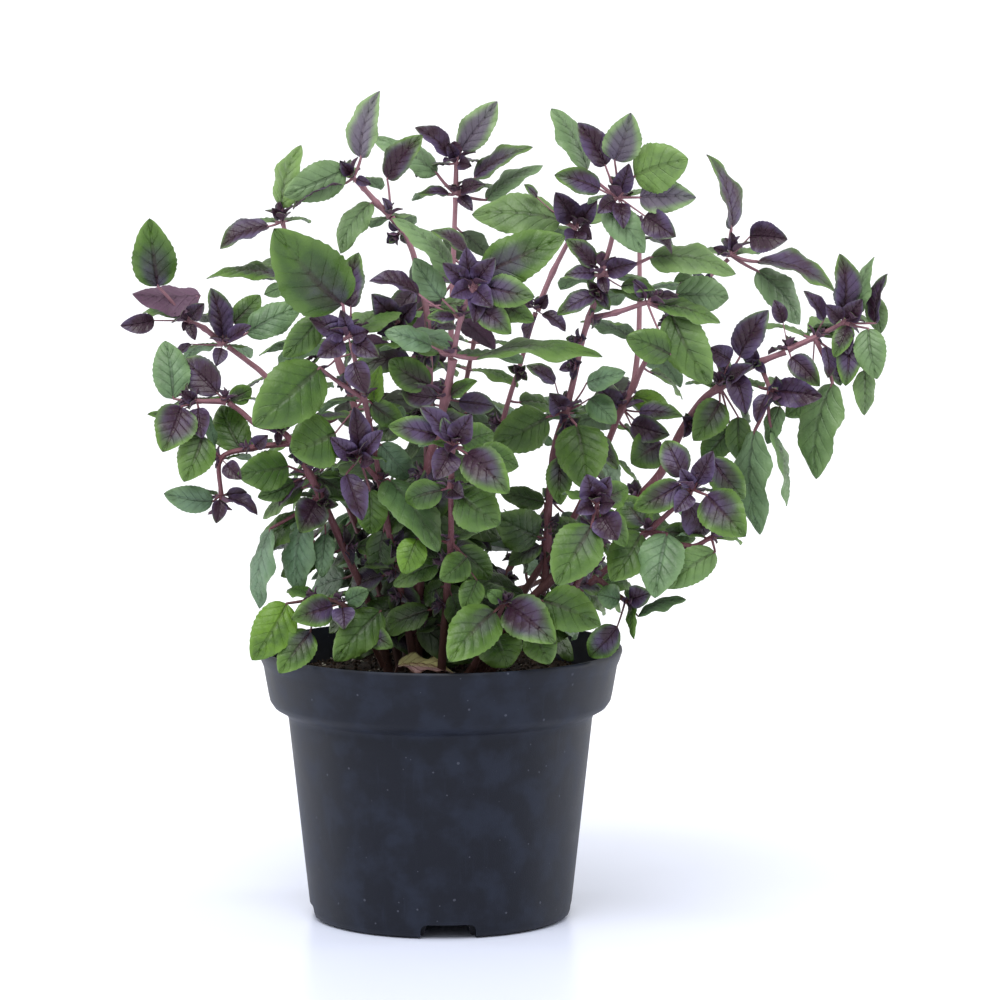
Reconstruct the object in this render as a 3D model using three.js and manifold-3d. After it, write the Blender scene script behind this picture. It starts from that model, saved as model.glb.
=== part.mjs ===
// Potted purple basil plant, upright in a black nursery pot.
// Millimetres, +Z up. Origin: centre of the pot's underside, on the surface it stands on.
// The plant's front faces -Y.
//
// Stems and leaves are laid out on an upright sheet through the pot's axis, as it is seen from
// LAYOUT_EYE. A layout point is [across, up, depth]: across and up lie on the sheet, and depth
// moves the point away from the eye along its line of sight, so depth below 0 is nearer the front.
import * as THREE from 'three';
import { mergeVertices } from 'three/addons/utils/BufferGeometryUtils.js';
import Module from 'manifold-3d';

const wasm = await Module();
wasm.setup();

// ---- driving dimensions ------------------------------------------------------------------
const LAYOUT_EYE = new THREE.Vector3(22.9, -1985.5, 401.3);
const GAP = 0.3;                 // clearance kept between neighbouring pieces
const WELD = 1e-4;               // corners closer than this are one corner
const CUT_WELD = 4e-3;           // the same, where a cut has left hair-thin faces

const POT_HEIGHT = 104.4;
const LIP_RADIUS = 70;           // widest part, the top lip
const BAND_TOP_RADIUS = 68;
const BAND_LOW_RADIUS = 65.6;    // lower edge of the rim band
const BAND_BOTTOM = 83.5;
const NECK_RADIUS = 58.5;        // wall just under the rim band
const NECK_HEIGHT = 77;
const FOOT_RADIUS = 50.4;
const FOOT_CORNER = 3;
const POT_WALL = 1.6;
const FLOOR_BOTTOM = 5.6;
const FLOOR_TOP = 7.4;
const FOOT_RING = 3.4;           // thickness of the ring that the pot stands on
const CENTRE_PAD = 9;            // radius of the flat pad that holds the floor's middle up
const NOTCH = { width: 21, height: 5.4, depth: 14, count: 4, azimuth: 3.9 };
const DRAIN = { radius: 4, count: 6, circle: 30, sides: 12 };
const POT_SEGMENTS = 36;

const SOIL_TOP = 94.5;
const SOIL_SEGMENTS = 24;
const ROOT_DEPTH = 6;            // how far the stems run down into the soil

const SQUARE_TO = new THREE.Vector3(0.3, -1, 0.2);  // no stem runs this way
const STEM_SIDES = 6;
const TWIG_SIDES = 3;
const TWIG_RADIUS = 1;
const PETIOLE_RADIUS = 0.65;
const PETIOLE_ROOT_RADIUS = 0.39;
const PETIOLE_SHARE = 0.18;      // petiole's part of a leaf whose blade has no base of its own
const STEM_JOINT = 3.3;          // radius of the swelling where a shoot sits on a stem
const STEM_JOINT_START = 2.1;    // how far from a joint's middle its petioles start
const TWIG_JOINT_START = 0.4;
const LEAF_THICKNESS = 0.8;
const EDGE_ROOM = 5;             // gaps kept beside a blade's thin edge
const LEAF_PROPORTION = 0.58;    // width of a blade as a share of its length
const OUTLINE = { base: 0.55, tip: 0.8, scale: 2.49 };  // roundness of an ovate blade's ends
const MOST_LEAN = 0.75;          // most that a blade leans to the front or back, by its layout length
const LEAF_ARCH = 0.07;          // rise of the midrib, as a share of the blade's length
const FOLD_OLD = 10;             // degrees that each half of a full-grown blade is raised
const FOLD_YOUNG = 32;
const BLADE_STATIONS = [0.3, 0.72];
const GROWN = {                  // how the leaves of a grown shoot change towards its tip
  shrink: 0.14,                  // share of the longest leaf that each pair loses
  oldestYouth: -0.3,
  youthGain: 0.9,
  rise: 0.15,                    // how far a leaf points along its axis, and more when young
  youngRise: 0.5,
  droop: 0.3,                    // how far a full-grown leaf hangs
  skyward: 0.7,                  // how strongly its upper side turns to the sky
};
const SMALL_BLADE = 16;          // a blade shorter than this has one station, flat above
const SMALL_STATIONS = [0.42];
const BUD_LENGTH = 8;            // a leaf no longer than this is still in the bud, and left out
const FLIPPED = 1;               // the blade's upper side looks down
const UNDERSIDE = 2;             // the blade is turned right over

// ---- colours ---------------------------------------------------------------------------
const plastic = { color: 0x2c303b, roughness: 0.55, metalness: 0 };
const compost = { color: 0x2a211a, roughness: 1, metalness: 0 };
const bark = { color: 0x74464f, roughness: 0.6, metalness: 0 };
const foliage = { color: 0x4a6b34, roughness: 0.5, metalness: 0 };

// ---- solids ------------------------------------------------------------------------------
// Merges corners that lie closer together than the tolerance, and drops what that flattens.
function welded(geometry, tolerance) {
  const bare = new THREE.BufferGeometry();
  bare.setAttribute('position', geometry.attributes.position);
  bare.setIndex(geometry.index);
  const merged = mergeVertices(bare, tolerance);
  const corners = Array.from(merged.index.array);
  const kept = [];
  for (let i = 0; i < corners.length; i += 3) {
    const [a, b, c] = corners.slice(i, i + 3);
    if (a !== b && b !== c && c !== a) kept.push(a, b, c);
  }
  merged.setIndex(kept);
  return merged;
}

function toSolid(geometry, tolerance = WELD) {
  const { attributes, index } = welded(geometry, tolerance);
  return new wasm.Manifold(new wasm.Mesh({
    numProp: 3,
    vertProperties: Float32Array.from(attributes.position.array),
    triVerts: Uint32Array.from(index.array),
  }));
}

function toGeometry(solid) {
  const mesh = solid.getMesh();
  const geometry = new THREE.BufferGeometry();
  geometry.setAttribute('position', new THREE.BufferAttribute(mesh.vertProperties, 3));
  geometry.setIndex(new THREE.BufferAttribute(mesh.triVerts, 1));
  geometry.computeVertexNormals();
  return geometry;
}

function largestPiece(solid) {
  return solid.decompose().sort((a, b) => b.volume() - a.volume())[0];
}

// The largest piece of a solid, without the hair-thin faces that cutting leaves.
function mainPiece(solid) {
  return largestPiece(toSolid(toGeometry(largestPiece(solid)), CUT_WELD));
}

function middleOf(ring) {
  return ring.reduce((sum, p) => sum.add(p), new THREE.Vector3()).divideScalar(ring.length);
}

// Skins a row of rings, each the same number of points. It closes the first ring to its middle
// and the last one to the end point.
function loft(rings, end = middleOf(rings.at(-1))) {
  const sides = rings[0].length;
  const lastRing = (rings.length - 1) * sides;
  const corners = [...rings.flat(), middleOf(rings[0]), end];
  const triangles = [];
  for (let s = 0; s < sides; s += 1) {
    const next = (s + 1) % sides;
    for (let r = 0; r < lastRing; r += sides) {
      triangles.push(r + s, r + next, r + next + sides, r + s, r + next + sides, r + s + sides);
    }
    triangles.push(next, s, corners.length - 2);
    triangles.push(lastRing + s, lastRing + next, corners.length - 1);
  }
  const geometry = new THREE.BufferGeometry().setFromPoints(corners);
  geometry.setIndex(triangles);
  const solid = toSolid(geometry);
  if (solid.volume() >= 0) return solid;
  geometry.setIndex(triangles.reverse());
  return toSolid(geometry);
}

// Puts a layout point where it lies in space.
function place([across, up, depth]) {
  const onSheet = new THREE.Vector3(across, 0, up);
  return LAYOUT_EYE.clone().lerp(onSheet, 1 + depth / -LAYOUT_EYE.y);
}

function ringAround(centre, along, radius, sides) {
  const side = SQUARE_TO.clone().cross(along).normalize();
  const other = along.clone().cross(side).normalize();
  return Array.from({ length: sides }, (_, i) => {
    const angle = (i / sides) * Math.PI * 2;
    return centre.clone()
      .addScaledVector(side, radius * Math.cos(angle))
      .addScaledVector(other, radius * Math.sin(angle));
  });
}

// A round stem through the points, thinner towards its tip.
function taperedStem(points, baseRadius, tipRadius, extra = 0, sides = STEM_SIDES) {
  const last = points.length - 1;
  const rings = points.map((point, i) => {
    const along = points[Math.min(i + 1, last)].clone().sub(points[Math.max(i - 1, 0)]).normalize();
    const radius = THREE.MathUtils.lerp(baseRadius, tipRadius, i / last) + extra;
    const overrun = { 0: -extra, [last]: extra }[i] ?? 0;
    return ringAround(point.clone().addScaledVector(along, overrun), along, radius, sides);
  });
  return loft(rings);
}

// ---- pot ---------------------------------------------------------------------------------
function potProfile() {
  const outer = [
    [FOOT_RADIUS - FOOT_CORNER, 0],
    [FOOT_RADIUS - 1, 0.8],
    [FOOT_RADIUS, FOOT_CORNER],
    [NECK_RADIUS, NECK_HEIGHT],
    [NECK_RADIUS + 1.5, NECK_HEIGHT + 2.6],
    [BAND_LOW_RADIUS - 1.2, BAND_BOTTOM - 1.4],
    [BAND_LOW_RADIUS, BAND_BOTTOM],
    [BAND_LOW_RADIUS + 0.6, BAND_BOTTOM + 3.5],
    [BAND_TOP_RADIUS, POT_HEIGHT - 7],
    [LIP_RADIUS, POT_HEIGHT - 1],
    [LIP_RADIUS - 0.3, POT_HEIGHT],
  ];
  const inner = [
    [LIP_RADIUS - POT_WALL, POT_HEIGHT],
    [BAND_TOP_RADIUS - POT_WALL, POT_HEIGHT - 7],
    [BAND_LOW_RADIUS + 0.6 - POT_WALL, BAND_BOTTOM + 3.5],
    [BAND_LOW_RADIUS - POT_WALL - 0.6, BAND_BOTTOM + 1],
    [NECK_RADIUS, NECK_HEIGHT + 3.6],
    [NECK_RADIUS - POT_WALL, NECK_HEIGHT],
    [FOOT_RADIUS - POT_WALL, FLOOR_TOP + 1.5],
    [FOOT_RADIUS - POT_WALL - 1.5, FLOOR_TOP],
    [0, FLOOR_TOP],
  ];
  const under = [
    [0, 0],
    [CENTRE_PAD, 0],
    [CENTRE_PAD + 1, FLOOR_BOTTOM],
    [FOOT_RADIUS - FOOT_CORNER - FOOT_RING, FLOOR_BOTTOM],
    [FOOT_RADIUS - FOOT_CORNER - FOOT_RING + 0.4, 0],
  ];
  return { outer, inner, under };
}

function lathed(profile, segments) {
  const points = profile.map(([radius, height]) => new THREE.Vector2(radius, height));
  const geometry = new THREE.LatheGeometry(points, segments);
  const solid = toSolid(geometry.rotateX(Math.PI / 2));
  if (solid.volume() >= 0) return solid;
  geometry.index.array.reverse();
  return toSolid(geometry);
}

function makePot() {
  const { outer, inner, under } = potProfile();
  const shellOutline = [...under, ...outer, ...inner];
  let pot = lathed(shellOutline, POT_SEGMENTS);
  for (let i = 0; i < NOTCH.count; i += 1) {
    const notch = new THREE.BoxGeometry(NOTCH.width, NOTCH.depth, NOTCH.height * 2);
    notch.translate(0, -FOOT_RADIUS, 0);
    notch.rotateZ(THREE.MathUtils.degToRad(NOTCH.azimuth) + (i * Math.PI * 2) / NOTCH.count);
    pot = pot.subtract(toSolid(notch));
  }
  for (let i = 0; i < DRAIN.count; i += 1) {
    const drain = new THREE.CylinderGeometry(DRAIN.radius, DRAIN.radius, FLOOR_TOP * 2, DRAIN.sides);
    drain.rotateX(Math.PI / 2);
    drain.translate(DRAIN.circle, 0, FLOOR_BOTTOM);
    drain.rotateZ(((i + 0.5) * Math.PI * 2) / DRAIN.count);
    pot = pot.subtract(toSolid(drain));
  }
  return pot;
}

// ---- soil --------------------------------------------------------------------------------
function makeSoil() {
  const { inner } = potProfile();
  const wall = inner.filter(([, height]) => height < SOIL_TOP && height > FLOOR_TOP);
  const topRadius = BAND_LOW_RADIUS + 1 - POT_WALL;
  const outline = [
    [0, SOIL_TOP],
    [topRadius * 0.6, SOIL_TOP - 0.6],
    [topRadius - 4, SOIL_TOP - 2],
    [topRadius - 2 * GAP, SOIL_TOP - 3],
    ...wall.map(([radius, height]) => [radius - 2 * GAP, height + GAP]),
    [FOOT_RADIUS - POT_WALL - 2, FLOOR_TOP + GAP],
    [0, FLOOR_TOP + GAP],
  ];
  return lathed(outline.reverse(), SOIL_SEGMENTS);
}

// ---- main stems --------------------------------------------------------------------------
// Each stem: [name, foot [x, y] at the soil, layout points up to its end, base and tip radius].
const STEMS = [
  ['stem_far_left', [-14, 2], [[-19, 112, 4], [-28, 140, 6], [-40, 170, 8], [-53, 194, 11],
    [-67, 209, 12], [-73, 214, 12], [-81, 220, 12]], 1.6, 0.94],
  ['stem_left', [-18, -8], [[-25, 115, -12], [-36, 140, -19], [-46, 163, -23], [-54, 178, -26],
    [-60, 187, -27], [-70, 190, -29], [-76, 195, -29], [-81, 198.5, -30]], 1.6, 0.85],
  ['stem_upper_left', [-10, 12], [[-14, 130, 23], [-24, 170, 34], [-38, 212, 44],
    [-48, 238, 49], [-51, 244, 50]], 1.6, 1.02],
  ['stem_left_front', [-8, -12], [[-14, 120, -21], [-20, 150, -32], [-25, 180, -41],
    [-29, 200, -48], [-34, 221, -54]], 1.44, 0.85],
  ['stem_high_left', [-4, 8], [[-5, 130, 4], [-5, 170, -2], [-4, 205, -7], [-5, 232, -12],
    [-9, 251, -16], [-12, 260, -18], [-18.5, 269.5, -20]], 1.6, 0.94],
  ['stem_top', [3, 14], [[4, 130, 22], [4, 170, 31], [4, 215, 39], [5, 250, 43],
    [6, 277, 44]], 1.44, 0.85],
  ['stem_centre_front', [-9, -10], [[-9, 112, -16], [-8, 132, -24], [-6, 155, -33],
    [-5, 172, -41], [-1, 188, -48], [2, 200, -53], [5, 215, -58]], 2, 1.36],
  ['stem_centre_right', [6, 8], [[12, 125, 14], [18, 160, 19], [23, 187, 21], [27, 202, 21],
    [30, 211, 21], [34, 225, 21], [36.5, 233, 20]], 1.28, 0.85],
  ['stem_top_right', [12, 0], [[30, 112, -5], [39, 125, -9], [41, 145, -13], [42, 165, -16],
    [44, 182, -18], [48, 195, -21], [51, 207, -23], [55, 225, -26], [60, 240, -29],
    [61.5, 248, -30], [65, 259, -32], [68, 274, -34]], 1.6, 0.85],
  ['stem_upper_right', [14, 7], [[32, 125, 15], [50, 152, 21], [62, 178, 25], [69, 195, 27],
    [74, 205, 29], [80, 217, 29], [94, 237, 31], [104, 248, 32], [110, 253.5, 32]], 1.52, 0.77],
  ['stem_right', [9, -9], [[30, 117, -10], [56, 143, -11], [80, 166, -11], [87, 176, -11],
    [92, 187, -10], [100, 199, -9], [107, 204.5, -9], [115, 210, -8], [122, 214, -8],
    [132, 218, -8]], 1.9, 1],
  ['stem_lower_right', [12, -14], [[35, 112, -28], [60, 131, -42], [80, 149, -52],
    [96, 164, -58]], 1.44, 0.85],
  ['stem_right_front', [5, -16], [[22, 108, -28], [40, 120, -43], [51, 127, -51],
    [57, 137, -58], [61, 146, -64], [60, 158, -70]], 1.28, 0.77],
  ['stem_centre_low', [0, -17], [[2, 120, -33], [4, 145, -51], [4, 164, -66]], 1.28, 0.94],
  ['stem_back_left', [-12, 18], [[-18, 125, 40], [-28, 155, 61], [-38, 180, 78]], 1.44, 0.94],
  ['stem_back_centre', [0, 22], [[2, 130, 49], [4, 165, 73], [7, 190, 86]], 1.44, 0.94],
  ['stem_back_right', [12, 18], [[22, 125, 43], [36, 150, 65], [50, 172, 80]], 1.44, 0.94],
];

// ---- leafy shoots ------------------------------------------------------------------------
// Each shoot: its joints from the stem outwards, [across, up, depth, leaves]. A leaf is
// [tip across, tip up, nearer, width, flip, youth, base across, base up]: nearer is the least
// that its tip lies in front of the joint, width is as seen from the eye, flip says which side
// shows, and youth runs from 0 or less, full grown, to 1, a folded young leaf. Without a base
// the blade starts PETIOLE_SHARE of the way to its tip.
const SHOOTS = {
  shoot_far_left: [
    [-83, 221, 12, [
      [-87.5, 242.5, 3, 10, 0, 0.8, -83, 224], [-85.5, 212.5, 6, 6, 0, 0.9],
      [-72, 228, 4, 5, 0, 1], [-68.5, 240, -8, 10, 0, 0.2, -79, 229],
      [-53, 236, -6, 13, 0, -0.4, -74, 225], [-101, 213.5, -3, 3, 0, 1, -95, 221]]],
    [-90, 227, 10, []],
    [-96.5, 230, 9, [
      [-110.5, 268.5, 4, 18, 0, 0.3, -107.5, 243], [-117.5, 239.5, 6, 12, 2, 0.75, -91.5, 239.5],
      [-122, 228, 6, 8, 0, 1, -109, 230], [-90, 236.5, 4, 7, 0, 0.9],
      [-98, 226, 3, 3.5, 0, 1], [-93.5, 222.5, 4, 4.5, 0, 0.9]]],
  ],
  shoot_upper_left: [
    [-52, 246, 50, [
      [-89, 247, 4, 7, 0, 0.2, -60, 246.5], [-67, 240, 8, 6, 0, -0.5, -60, 243]]],
    [-57, 257, 50, []],
    [-60, 268, 48, [
      [-84, 258, 4, 8, 0, 0.8, -65, 266], [-53, 297, 2, 11, 0, -0.6, -60, 273],
      [-64, 273, 4, 4, 0, 1]]],
  ],
  shoot_high_left: [
    [-19, 270, -20, [
      [-39, 256.5, 4, 10, 0, -0.15, -26, 275], [-7, 301, 4, 11, 0, 0.6, -20, 284],
      [-22, 277, 3, 3, 0, 1]]],
    [-24, 275, -21, []],
    [-29, 280.5, -22, []],
    [-33, 284.5, -22, [
      [-23, 317.5, 2, 12.5, 0, 0.4, -30, 292], [-59, 278, 2, 15.5, 0, -0.2, -36, 287.5],
      [-56, 272.5, 9, 4, 0, 0.8, -37, 282],
      [-26, 282, 4, 4, 0, 1], [-38, 291, 3, 5, 0, 0.9]]],
  ],
  shoot_top: [
    [6, 278.5, 44, [
      [-8, 278.5, 2, 4, 0, 0.6], [35.5, 296, 2, 8, 0, 0.5, 13, 284],
      [38, 291, -5, 7.5, 0, -0.3, 17.5, 276], [17, 282, 8, 6, 0, 0.8],
      [12.5, 272, 6, 5, 0, 0.9], [-25, 301, -4, 11, 0, -0.3, -1, 286]]],
    [6.3, 290.5, 43, [
      [22, 313.5, 2, 13, 0, 0.4, 8, 295], [-9.5, 303.5, 3, 8, 0, 0.95],
      [3, 298, 5, 5, 0, 1], [12, 289, 6, 6, 0, 1]]],
  ],
  shoot_centre: [
    [5, 217, -58, [
      [62, 217, 8, 5.5, 0, 0.1, 14, 215.5], [-21, 226, 6, 9, 0, -0.3, -3, 220]]],
    [8, 231, -61, [
      [-10, 254, -4, 11, 0, -0.3, 1, 238], [-27, 245, 3, 6, 0, 1, -8, 240],
      [-5, 231, 4, 5, 0, 0.6]]],
    [12.5, 243, -63, [
      [48, 262, 3, 19, 0, 0.3, 16, 247.5], [36, 239, 10, 13, 0, 0.4, 18, 243],
      [-3, 265, -2, 6, 0, 0.6, 10, 256], [-16.5, 271, -6, 9, 0, -0.2, 4, 249],
      [20, 235, 10, 9, 0, 1], [4, 239, 10, 8, 0, 1], [27, 225, 8, 11, 0, 0.5, 15, 235], [36, 230, 6, 9, 0, 0.2, 19, 237],
      [1, 252, 7, 8, 0, 1], [13, 229, 9, 7, 0, 1],
      [10, 258, 5, 8, 0, 1], [21, 254, 6, 9, 0, 0.95]]],
  ],
  leaves_centre: [
    [2, 200, -53, [
      [21, 197, -6, 9, 0, 0.8, 7, 199], [-15, 203, -4, 10, 0, 0.7], [14, 207, 6, 6, 0, 0.3],
      [-20, 215, -8, 13, 0, 0.3, -4, 205]]],
  ],
  shoot_centre_right: [
    [37, 234, 20, [
      [48, 226, 3, 5, 0, 1], [41, 240, 3, 5, 0, 1], [33, 221, 3, 4, 0, 1],
      [28, 240, -3, 5, 0, 0.9]]],
    [43, 248.5, 19, []],
    [52, 266, 17, [
      [44, 279, 4, 11, 0, 1], [50, 257, 8, 9, 0, 1], [60, 276, 4, 8, 0, 1],
      [12.5, 272, 2, 17, 0, 0, 46, 268], [58, 261, 6, 7, 0, 1],
      [32, 282, 2, 3, 0, 0.5, 37, 277]]],
  ],
  shoot_top_right: [
    [68, 277, -34, [
      [42, 310.5, -4, 9, 0, -0.2, 56, 287], [52.5, 305.5, 2, 11, 0, 0.9, 63, 289],
      [72.5, 309, 2, 15, 0, 0.35, 66.5, 291], [43.5, 285.5, 3, 10, 0, 0.6, 61, 280],
      [94, 291.5, 2, 20, 0, -0.45, 74, 285], [97, 277, 6, 14, 0, 0.4, 76, 277],
      [72, 290, 8, 8, 0, 1], [70, 265, 10, 7, 0, 1], [90, 262, 6, 11, 0, 0.85, 78, 270],
      [78, 256, 8, 13, 0, -0.4, 63, 273], [88.5, 255.5, 3, 4, 0, 1, 79, 264],
      [60, 271, 8, 7, 0, 1]]],
  ],
  leaves_top_right: [
    [61.5, 248, -30, [
      [75, 252, 4, 8, 0, 1], [47.5, 247.5, 3, 6, 0, 0.7], [44.5, 232.5, 4, 8, 0, 0.6, 59, 240],
      [48, 261, -2, 8, 0, 0.6], [82, 242, 4, 6, 0, 0.1, 69, 243],
      [113, 249.5, 6, 12, 0, 0, 80, 254], [64, 240, 6, 5, 0, 1]]],
  ],
  shoot_inner_right: [
    [57.5, 231, -27, []],
    [67, 233, -30, []],
    [79, 237, -33, [
      [107, 229, 3, 7, 0, 0.1, 83, 236], [91, 239, 3, 3, 0, 1],
      [111, 238.5, -6, 15, 0, -0.5, 90, 240], [103.5, 205.5, 8, 18, 0, 0, 88, 233],
      [71.5, 223.5, 6, 14, 0, 0.1, 88, 217], [74, 246, 2, 5, 0, 0.9]]],
  ],
  shoot_upper_right: [
    [111, 255, 32, [
      [102, 293.5, 2, 8, 0, 0.6, 111, 265], [132.5, 261, 4, 13, 0, 1, 118, 262],
      [151, 242.5, 5, 8, 0, 0.6, 121, 252.5], [138.5, 229, -4, 13, 0, -0.4, 121, 249],
      [111, 264, 3, 4, 0, 1], [104, 258, 4, 4, 0, 1]]],
  ],
  leaves_upper_right: [
    [70, 196, 28, [
      [88, 195.5, -4, 10, 0, -0.8, 74, 201], [93, 193.5, 4, 8, 0, 0.5, 76, 195],
      [88, 186, 4, 11, 0, 0.7, 73, 190], [60, 205, 2, 9, 0, 0.9],
      [73, 175, 6, 16, 0, 0.4, 84.5, 183]]],
  ],
  shoot_right: [
    [133, 219, -8, [
      [145, 205, 4, 10, 0, 0.6, 134, 216], [127.5, 238, -2, 6, 0, 0.9, 131, 229]]],
    [143, 223.5, -9, [
      [139, 241.5, 2, 5.5, 0, 0.9, 146.5, 230], [148.5, 208, 4, 6, 0, 0.9, 147, 220], [153, 205, -4, 7.5, 0, 0.6, 150.5, 218],
      [142, 169.5, 6, 16, 0, 0.25, 150, 206], [132, 193, -4, 9, 0, 0, 141, 200]]],
    [154, 229, -10, [
      [153, 255.5, 2, 11, 0, 0.7], [165, 254.5, -2, 7, 0, -0.2, 160, 233],
      [170.5, 248, 2, 6, 0, 0.8, 166.5, 229], [167, 207.5, 4, 13, 0, 0.3, 163.5, 227],
      [163, 193.5, 2, 9, 0, 0.2, 162, 211], [161, 238, 6, 8, 0, 1],
      [155, 205, 7, 10, 0, 0.5, 156, 222],
      [147, 236, 6, 7, 0, 1], [156, 217, 7, 7, 0, 1],
      [150.5, 216, 8, 8, 0, 0.3, 156, 228], [168.5, 225, -4, 9, 0, -0.1, 165, 239]]],
  ],
  leaves_right: [
    [107, 204.5, -9, [
      [125, 234, 8, 12, 0, 0.75, 114.5, 216], [103, 219.5, 4, 9, 0, 1, 111, 215],
      [117, 194, 7, 10, 0, 0.9, 112, 210], [120, 213, 6, 6, 0, 0.9],
      [97, 184, 10, 14, 0, 0.3, 107, 199], [100, 176, -7, 12, 0, 0.1, 111, 189],
      [116, 175, -6, 11, 0, 0, 114, 193]]],
  ],
  shoot_right_hanging: [
    [122, 214, -8, []],
    [126, 204, -12, [
      [146, 201, 5, 12, 0, 1, 129, 203], [121, 191, 4, 6, 0, 1],
      [124.5, 182.5, -4, 8, 0, -0.5, 130, 197], [120.5, 147.5, 4, 14, 0, -0.25, 120.5, 188],
      [132, 158.5, -6, 3, 0, -0.2, 127, 188]]],
  ],
  shoot_lower_right: [
    [97, 165, -58, [
      [104.5, 180, 4, 9, 0, 1], [74, 157.5, 4, 12, 0, 0.4, 92, 167],
      [90, 156, 6, 8, 0, 1], [117, 147, 4, 18, 0, 0.4, 102, 163],
      [117, 161, -6, 13, 0, 0.4, 104, 177], [102, 147, -4, 13, 0, 0.9, 95, 160],
      [92, 173, 4, 6, 0, 1], [86, 184, -9, 12, 0, 0.6, 93, 170]]],
  ],
  leaves_lower_right: [
    [80, 149, -52, [
      [82.5, 123.5, 6, 18, 0, -0.3, 87, 148], [66, 130, 4, 17, 0, 0, 77, 148],
      [69, 162, -4, 13, 0, 0.2], [98, 146, -8, 9, 0, 0.2, 86, 149]]],
    [95, 143, -54, []],
    [104, 146.5, -56, [[86, 127, 0, 14, 0, -0.6, 105.5, 141]]],
  ],
  shoot_low_right: [
    [60, 131, -42, []],
    [71, 122, -50, [
      [94, 123.5, 0, 4, 0, -0.3, 76, 116], [74, 107, 2, 4, 0, 0, 74, 120],
      [81, 125, 4, 9, 0, 0.7],
      [57, 100, -3, 12, 0, 0.5, 68, 112], [60, 124.5, 2, 10, 0, -0.2]]],
  ],
  shoot_right_front: [
    [60, 160, -70, [
      [56, 171, 3, 11, 0, 1], [65, 170, 3, 8, 0, 1], [67, 160, 6, 8, 0, 1],
      [68, 145.5, 6, 12, 0, 1, 62, 155], [52, 156, 6, 7, 0, 1],
      [45, 129, 4, 20, 0, 0.1, 58, 151], [72, 143, -3, 9, 0, 0.3], [72, 166, -6, 11, 0, 0.2]]],
  ],
  leaves_top_right_low: [
    [48, 195, -21, [
      [56, 166, 20, 21, 0, 0, 52, 190], [20.5, 182, 20, 18, 0, 0, 41, 193],
      [42, 202, 10, 9, 0, 0.9], [71, 210, 16, 9, 0, -0.3, 56, 206],
      [67, 190.5, 12, 11, 0, -0.2, 57, 200], [33, 213, 2, 6, 0, 0.7, 44, 206],
      [46, 159, 12, 11, 0, 0.3, 47, 178]]],
  ],
  leaves_centre_right_low: [
    [41, 145, -13, [
      [21.5, 155, 20, 18, 0, 0.05], [23, 164, 4, 9, 0, 0, 40, 160], [26, 136, 6, 8, 0, 0.3], [54, 152, -6, 12, 0, 0.2]]],
  ],
  shoot_centre_low: [
    [4, 166, -68, [
      [23, 151.5, 8, 19, 0, -0.1], [9, 162, 10, 8, 0, 1], [-14, 160, -8, 12, 0, 0.2]]],
    [5, 182, -75, [
      [26, 164, 4, 16, 0, 0.5, 10, 179], [-2, 169, 6, 11, 0, 1], [12, 194, 5, 10, 0, 1],
      [-20, 189.5, 4, 11, 0, 0.5, -1, 186], [-8, 197, 3, 8, 0, 0.9], [1, 193, 2, 6, 0, 0.8],
      [21, 187, -8, 12, 0, 0.1], [30, 174, -9, 12, 0, 0, 14, 180]]],
  ],
  leaves_centre_low: [
    [4, 145, -51, [
      [-14.5, 132.5, 10, 12, 0, -0.9, -9, 146], [0, 130, 6, 12, 0, 0.05, 10, 139],
      [9, 118, 6, 10, 0, 0, 14, 130], [20, 130, -6, 12, 0, 0.1]]],
  ],
  shoot_front: [
    [13, 97, -33, []],
    [20, 111, -46, [
      [26, 96.5, 8, 18, 0, 0], [42, 97.5, 4, 14, 0, 0.1, 36, 111], [6, 112, -4, 10, 0, 0.3]]],
    [24.5, 121, -54, [
      [3.5, 98.5, 8, 19, 0, 0.1, 21, 118], [44, 105.5, 8, 18, 0, 0.6, 26, 120],
      [61, 113, 2, 18, 0, 0.05, 39, 122], [18, 126, 2, 6, 0, -0.6]]],
  ],
  shoot_front_left: [
    [-22, 97, -24, []],
    [-30, 112, -34, [
      [-41, 98.5, 10, 16, 0, 0, -23, 118], [-18, 104, 6, 9, 0, 0.4]]],
    [-38, 121, -38, [
      [-37, 111, 8, 9, 0, 0.8], [-57, 115, 4, 13, 0, 0.45], [-28, 126, 2, 8, 0, -0.2]]],
    [-47, 123, -38, [
      [-72.5, 99, 4, 17, 0, -0.85, -59, 121], [-62, 94, 10, 14, 0, 0.2, -50, 110]]],
  ],
  leaves_left_low: [
    [-46, 163, -23, [
      [-54, 148.5, 8, 14, 0, 0.7], [-70, 119, 0, 8, 0, -0.4, -65, 150],
      [-55.5, 125, 2, 12, 0, -0.3, -52, 154], [-46, 131, 6, 9, 0, -0.3, -44, 148]]],
  ],
  shoot_inner_left: [
    [-23, 168, -38, [[-1, 140.5, 22, 16, 0, -0.15, -20, 169]]],
    [-31, 177, -50, [
      [-33, 197, 4, 9, 0, 1], [-22, 188, 6, 7, 0, 1], [-42, 185, 5, 8, 0, 1],
      [-25, 176, 7, 6, 0, 1], [-30, 153, 6, 10, 0, 1, -36, 171],
      [-23, 213, -8, 7, 0, -0.8, -25, 198], [-27, 147, -12, 13, 0, -0.7, -27, 165]]],
  ],
  shoot_left_front: [
    [-35, 224, -54, [
      [-63, 265, 4, 28, 0, 0.25, -37, 236], [-31.5, 256, 2, 11, 0, 0.6, -34, 235],
      [-60, 216, 4, 12, 0, 0, -46, 231], [-47, 216, 5, 9, 0, 1],
      [-28, 202, 7, 10, 0, 1, -33, 214], [-45, 227, 6, 8, 0, 1], [-27, 226, 6, 7, 0, 1],
      [-38, 234, 6, 6, 0, 1], [-50, 231, 3, 9, 0, 0.9], [-23, 216, 4, 8, 0, 0.9]]],
  ],
  leaves_left_front: [
    [-29, 200, -48, [
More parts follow.
